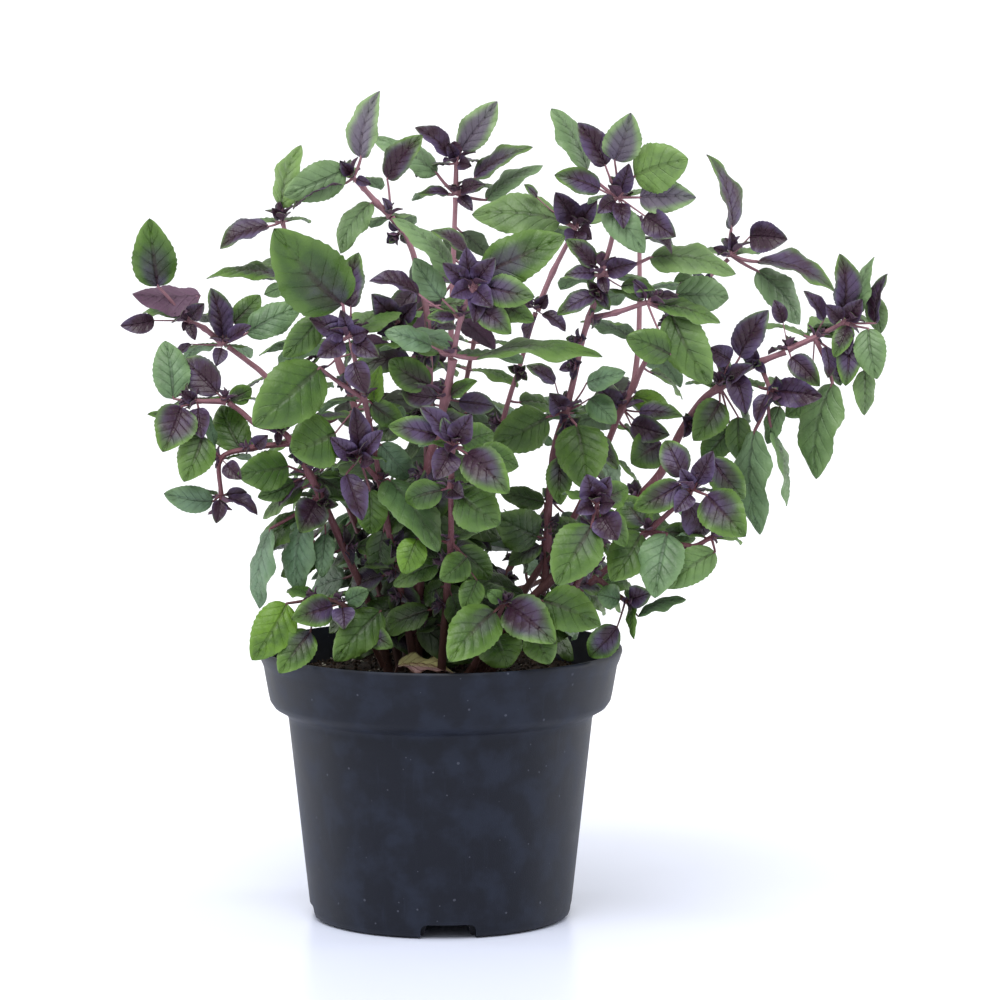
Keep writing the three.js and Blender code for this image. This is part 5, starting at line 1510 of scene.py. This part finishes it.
def crumb_tree(material):
    """Rough crumbs scattered on a surface and half sunk in it."""
    tree = Tree("Crumbs", Count=1000, Largest=0.003, Seed=1)
    surface = tree.input("Geometry")
    area = math.pi * MIX_SURFACE ** 2
    scattered = tree.add("GeometryNodeDistributePointsOnFaces", {}, {
        "Mesh": surface, "Density": tree.input("Count") * (1 / area),
        "Seed": tree.input("Seed")})
    ball = tree.add("GeometryNodeMeshIcoSphere", {}, {"Radius": 0.5, "Subdivisions": 1})
    spots = tree.add("GeometryNodeInputPosition")
    lump = tree.add("ShaderNodeTexNoise", {"noise_dimensions": "3D"},
                    {"Vector": spots, "Scale": 2.2, "Detail": 1.0})
    ball = tree.add("GeometryNodeSetPosition", {}, {"Geometry": ball,
                                                    "Position": spots * (0.45 + lump * 1.1)})
    spin = tree.add("FunctionNodeRandomValue", {"data_type": "FLOAT_VECTOR"},
                    {"Min": (0, 0, 0), "Max": (6.28, 6.28, 6.28), "Seed": 3})
    size = tree.add("FunctionNodeRandomValue", {"data_type": "FLOAT_VECTOR"},
                    {"Min": (0.25, 0.2, 0.15), "Max": (1.0, 0.7, 0.6), "Seed": 4})
    placed = tree.add("GeometryNodeInstanceOnPoints", {}, {
        "Points": scattered, "Instance": ball, "Rotation": spin,
        "Scale": size * tree.input("Largest")})
    tree.finish(tree.painted(tree.real(placed), material))
    return tree


def mix_outline(pot, mix):
    """The mix's section, from its underside up the pot's wall and in over its surface."""
    inside = [(pot.foot_radius - pot.wall - 2 * MM, pot.floor_top + GAP * MM),
              (pot.foot_radius - pot.wall - 0.6 * MM, pot.floor_top + 1.8 * MM),
              (pot.neck_radius - pot.wall - 0.6 * MM, pot.neck_height + GAP * MM),
              (pot.neck_radius - 0.6 * MM, pot.neck_height + 3.9 * MM),
              (pot.band_low_radius - pot.wall - 1.2 * MM, pot.band_bottom + 1.3 * MM),
              (pot.band_low_radius - pot.wall, pot.band_bottom + 3.8 * MM),
              (pot.band_low_radius + 0.4 * MM - pot.wall, mix.top - 3 * MM)]
    edge = pot.band_low_radius + 0.4 * MM - pot.wall
    surface = [(edge * (1 - i / 24), mix.top - 2.2 * MM * (1 - i / 24) ** 2)
               for i in range(1, 24)]
    return [(0, pot.floor_top + GAP * MM), *inside, *surface, (0, mix.top)]


def roughened(mesh, top, draws):
    """Heaps and dips on the mix's surface."""
    waves = [(draws.uniform(60, 420), draws.uniform(0, math.tau), draws.uniform(0, math.tau))
             for _ in range(22)]
    for vertex in mesh.vertices:
        x, y, z = vertex.co
        if z < top - 2.9 * MM:
            continue
        heap = sum(math.sin(rate * (x * math.cos(turn) + y * math.sin(turn)) + shift) / rate
                   for rate, turn, shift in waves)
        vertex.co.z = z + heap * 0.035


class BASIL_OT_mix(bpy.types.Operator):
    """Makes the potting mix with its loose crumbs and pale grains"""

    bl_idname = "basil.mix"
    bl_label = "Potting mix"

    def execute(self, context):
        pot, mix = context.scene.basil_pot, context.scene.basil_mix
        body = turned("potting_mix_body", mix_outline(pot, mix), 96)
        roughened(body.data, mix.top, random.Random(11))
        damp = finish_named("Potting mix", mix_finish, mix)
        body.data.materials.append(damp)
        soft_shaded(body.data, 60)
        mount_piece(body, "potting_mix", "potting_mix")
        pale = finish_named("Pale grain", grain_finish, mix)
        loose = [("mix_crumbs", damp, mix.crumbs, mix.crumb, 5),
                 ("mix_grains", pale, mix.grains, mix.grain, 9)]
        for name, material, count, largest, seed in loose:
            tree = crumb_tree(material)
            made = grown(surface_of(body), tree, name, Count=count, Largest=largest, Seed=seed)
            soft_shaded(made.data, 30)
            mount_piece(made, "potting_mix")
        return {"FINISHED"}


def surface_of(body):
    """The upper faces of the mix, away from the pot's wall, as a new object."""
    faces, corners = [], body.data.vertices
    for face in body.data.polygons:
        if face.normal.z > 0.5 and face.center.xy.length < MIX_SURFACE:
            faces.append(tuple(face.vertices))
    mesh = bpy.data.meshes.new("surface")
    mesh.from_pydata([v.co for v in corners], [], faces)
    return add_object("surface", mesh)


# ---- plant ---------------------------------------------------------------------------------
SHARP_LEAF = math.radians(55)    # a leaf's edges sharper than this stay sharp


class BASIL_OT_stems(bpy.types.Operator):
    """Makes the main stems, from under the mix's surface to their tips"""

    bl_idname = "basil.stems"
    bl_label = "Main stems"

    def execute(self, context):
        settings = context.scene.basil_stems
        tree = stem_tree(finish_named("Basil stem", bark_finish, settings))
        for name, foot, layout, base_radius, tip_radius in STEMS:
            line = stem_line(foot, layout, base_radius, tip_radius, settings.swelling)
            source = add_object("line", line_mesh("line", [line]))
            made = grown(source, tree, "grown_" + name, Sides=settings.sides,
                         Squareness=settings.squareness)
            mount_piece(made, "stems", name)
        return {"FINISHED"}


def leafy_tree(scene, large):
    """The shoot tree with the leaf and stem finishes; blades over large get a fine mesh."""
    leaf = finish_named("Basil leaf", leaf_finish, scene.basil_leaves)
    bark = finish_named("Basil stem", bark_finish, scene.basil_stems)
    return shoot_tree(scene.basil_leaves, leaf, bark, large)


def build_foliage(piece, lines, leaves, tree, *nodes):
    """A piece of foliage from its twigs and stalks and its leaves."""
    source = add_object("skeleton", line_mesh("skeleton", lines, leaves))
    made = grown(source, tree, piece)
    made.data.set_sharp_from_angle(angle=SHARP_LEAF)
    mount_piece(made, "foliage", *nodes)


def build_shoot(name, axis, leaves, tree):
    lines = [petiole(leaf) for leaf in leaves]
    if len(axis) > 1:
        lines.append(twig(axis))
    build_foliage("grown_" + name, lines, leaves, tree, name)


class BASIL_OT_shoots(bpy.types.Operator):
    """Makes the leafy shoots: twigs, petioles, leaves and buds"""

    bl_idname = "basil.shoots"
    bl_label = "Leafy shoots"

    def execute(self, context):
        tree = leafy_tree(context.scene, context.scene.basil_leaves.large)
        draws = random.Random(2024)
        for name, joints in SHOOTS.items():
            axis, leaves = laid_out_shoot(joints, draws)
            build_shoot(name, axis, leaves, tree)
        for name, layout, pairs, longest, first_angle in GROWN_SHOOTS:
            axis, leaves = grown_shoot(layout, pairs, longest, first_angle)
            along = (axis[-1] - axis[-2]).normalized()
            leaves += tuft(axis[-1], along, 8 * MM, draws)
            build_shoot(name, axis, leaves, tree)
        return {"FINISHED"}


class BASIL_OT_side_leaves(bpy.types.Operator):
    """Makes the pairs of leaves along the main stems, which fill the inside of the crown"""

    bl_idname = "basil.side_leaves"
    bl_label = "Side leaves"

    def execute(self, context):
        tree = leafy_tree(context.scene, context.scene.basil_leaves.large_side)
        draws, shown = random.Random(77), shown_leaves()
        for name, foot, layout, base_radius, tip_radius in STEMS:
            line = [p for p, _ in stem_line(foot, layout, base_radius, tip_radius, 0)]
            leaves = side_leaves(line, shown, draws)
            build_foliage("side_leaves_" + name.removeprefix("stem_"),
                          [petiole(leaf) for leaf in leaves], leaves, tree)
        return {"FINISHED"}


class BASIL_OT_dry_leaf(bpy.types.Operator):
    """Makes the withered leaf that its stalk holds just over the mix near the front"""

    bl_idname = "basil.dry_leaf"
    bl_label = "Dry leaf"

    def execute(self, context):
        settings = context.scene.basil_leaves
        tree = shoot_tree(settings, finish_named("Dry leaf", dry_leaf_finish),
                          finish_named("Basil stem", bark_finish, context.scene.basil_stems),
                          settings.large)
        base, tip = Vector((-16, -21, 100)) * MM, Vector((5, -22, 101)) * MM
        face = square_to((tip - base).normalized(), Vector((0.1, -0.6, 0.8)))
        leaf = Leaf(base - Vector((2, -1, 5)) * MM, base, tip, face, 10 * MM, 0.7, 0.7)
        skeleton = line_mesh("skeleton", [petiole(leaf)], [leaf])
        skeleton.attributes["crumple"].data.foreach_set("value", [0.0] * 7 + [0.22])
        made = grown(add_object("skeleton", skeleton), tree, "dry_leaf")
        mount_piece(made, "foliage")
        return {"FINISHED"}


# ---- stage ---------------------------------------------------------------------------------
SUN_WAY = Vector((0.16, 0.8, -1.3))
SUN_ANGLE = math.radians(35)
SIDE_LAMP_AWAY = 1.3
SIDE_LAMP_AIM = Vector((0, 0, 0.1))
SIDE_LAMP_SIZE = (0.5, 1.2)
CAMERA_AIM = Vector((22.9, 0, 161)) * MM


def aimed(name, data, at, way):
    """A lamp or camera at a place, which looks along a direction."""
    made = add_object(name, data)
    made.location = at
    made.rotation_euler = way.to_track_quat("-Z", "Y").to_euler()
    return made


def add_side_lamp(name, at, power):
    lamp = bpy.data.lights.new(name, "AREA")
    lamp.shape, lamp.size, lamp.size_y = "RECTANGLE", *SIDE_LAMP_SIZE
    lamp.energy = power
    aimed(name, lamp, at, SIDE_LAMP_AIM - at)


def add_sun(strength):
    """A very soft light from the front, above and a little to the left."""
    sun = bpy.data.lights.new("Key", "SUN")
    sun.energy, sun.angle = strength, SUN_ANGLE
    aimed("Key", sun, Vector(), SUN_WAY)


def add_camera(scene, focal_length):
    camera = bpy.data.cameras.new("Camera")
    camera.sensor_width, camera.lens = 36, focal_length
    camera.clip_start, camera.clip_end = 0.05, 200
    scene.camera = aimed("Camera", camera, EYE, CAMERA_AIM - EYE)


def add_sky(scene, strength):
    world = bpy.data.worlds.new("Studio")
    scene.world = world
    world.use_nodes = True
    sky = world.node_tree.nodes["Background"]
    sky.inputs["Color"].default_value = (1, 1, 1, 1)
    sky.inputs["Strength"].default_value = strength


def floor_finish(stage):
    """A plain pale floor with a faint even glow; a painted shadow makes it a little bluer close to
    the pot, and under the pot the glow is taken away as painted shade.
    """
    material, nodes, surface = new_material("Floor")
    away = nodes.length(object_point(nodes))
    # Painted shadow: the floor turns bluer close to the pot.
    colour = nodes.mix(nodes.smooth(away, 0.08, 0.6), stage.near, stage.floor)
    # Painted shade: the floor's faint glow is taken away under the pot.
    feed(nodes, surface, Base_Color=colour, Roughness=0.3, Specular_IOR_Level=0.45,
         Emission_Color=nodes.mix(nodes.smooth(away, 0.047, 0.056), paint("000000"),
                                  stage.floor),
         Emission_Strength=0.06)
    return material


class BASIL_OT_stage(bpy.types.Operator):
    """Makes the floor, the studio light and the camera"""

    bl_idname = "basil.stage"
    bl_label = "Stage"

    def execute(self, context):
        scene, stage = context.scene, context.scene.basil_stage
        floor = turned("floor", [(0, -20 * MM), (40, -20 * MM), (40, -0.2 * MM),
                                 (2, -0.2 * MM), (0, -0.2 * MM)], 64)
        floor.data.materials.append(finish_named("Floor", floor_finish, stage))
        add_sky(scene, stage.sky)
        add_sun(stage.key)
        for name, x in (("Left", -SIDE_LAMP_AWAY), ("Right", SIDE_LAMP_AWAY)):
            add_side_lamp(name, Vector((x, 0.25, 0.5)), stage.side)
        add_camera(scene, stage.focal_length)
        scene.view_settings.view_transform = "Standard"
        return {"FINISHED"}


# ---- add-on --------------------------------------------------------------------------------
class BASIL_PT_panel(bpy.types.Panel):
    """Lists the plant's pieces and sizes"""

    bl_idname = "BASIL_PT_panel"
    bl_label = "Potted purple basil"
    bl_space_type = "VIEW_3D"
    bl_region_type = "UI"
    bl_category = "Basil"

    def draw(self, context):
        groups = (("basil.pot", "basil_pot"), ("basil.mix", "basil_mix"),
                  ("basil.stems", "basil_stems"), ("basil.shoots", "basil_leaves"),
                  ("basil.side_leaves", None), ("basil.dry_leaf", None),
                  ("basil.stage", "basil_stage"))
        for operator, group in groups:
            box = self.layout.box()
            box.operator(operator)
            settings = getattr(context.scene, group) if group else None
            for label in settings.__annotations__ if settings else ():
                box.prop(settings, label)


SETTINGS = {"basil_pot": BasilPotSettings, "basil_mix": BasilMixSettings,
            "basil_stems": BasilStemSettings, "basil_leaves": BasilLeafSettings,
            "basil_stage": BasilStageSettings}
CLASSES = (*SETTINGS.values(), BASIL_OT_pot, BASIL_OT_mix, BASIL_OT_stems, BASIL_OT_shoots,
           BASIL_OT_side_leaves, BASIL_OT_dry_leaf, BASIL_OT_stage, BASIL_PT_panel)


def register():
    for item in CLASSES:
        bpy.utils.register_class(item)
    for name, group in SETTINGS.items():
        setattr(bpy.types.Scene, name, PointerProperty(type=group))


def unregister():
    for name in SETTINGS:
        delattr(bpy.types.Scene, name)
    for item in reversed(CLASSES):
        bpy.utils.unregister_class(item)


def main():
    register()
    bpy.ops.basil.stage()
    bpy.ops.basil.pot()
    bpy.ops.basil.mix()
    bpy.ops.basil.stems()
    bpy.ops.basil.shoots()
    bpy.ops.basil.side_leaves()
    bpy.ops.basil.dry_leaf()


if __name__ == "__main__":
    main()
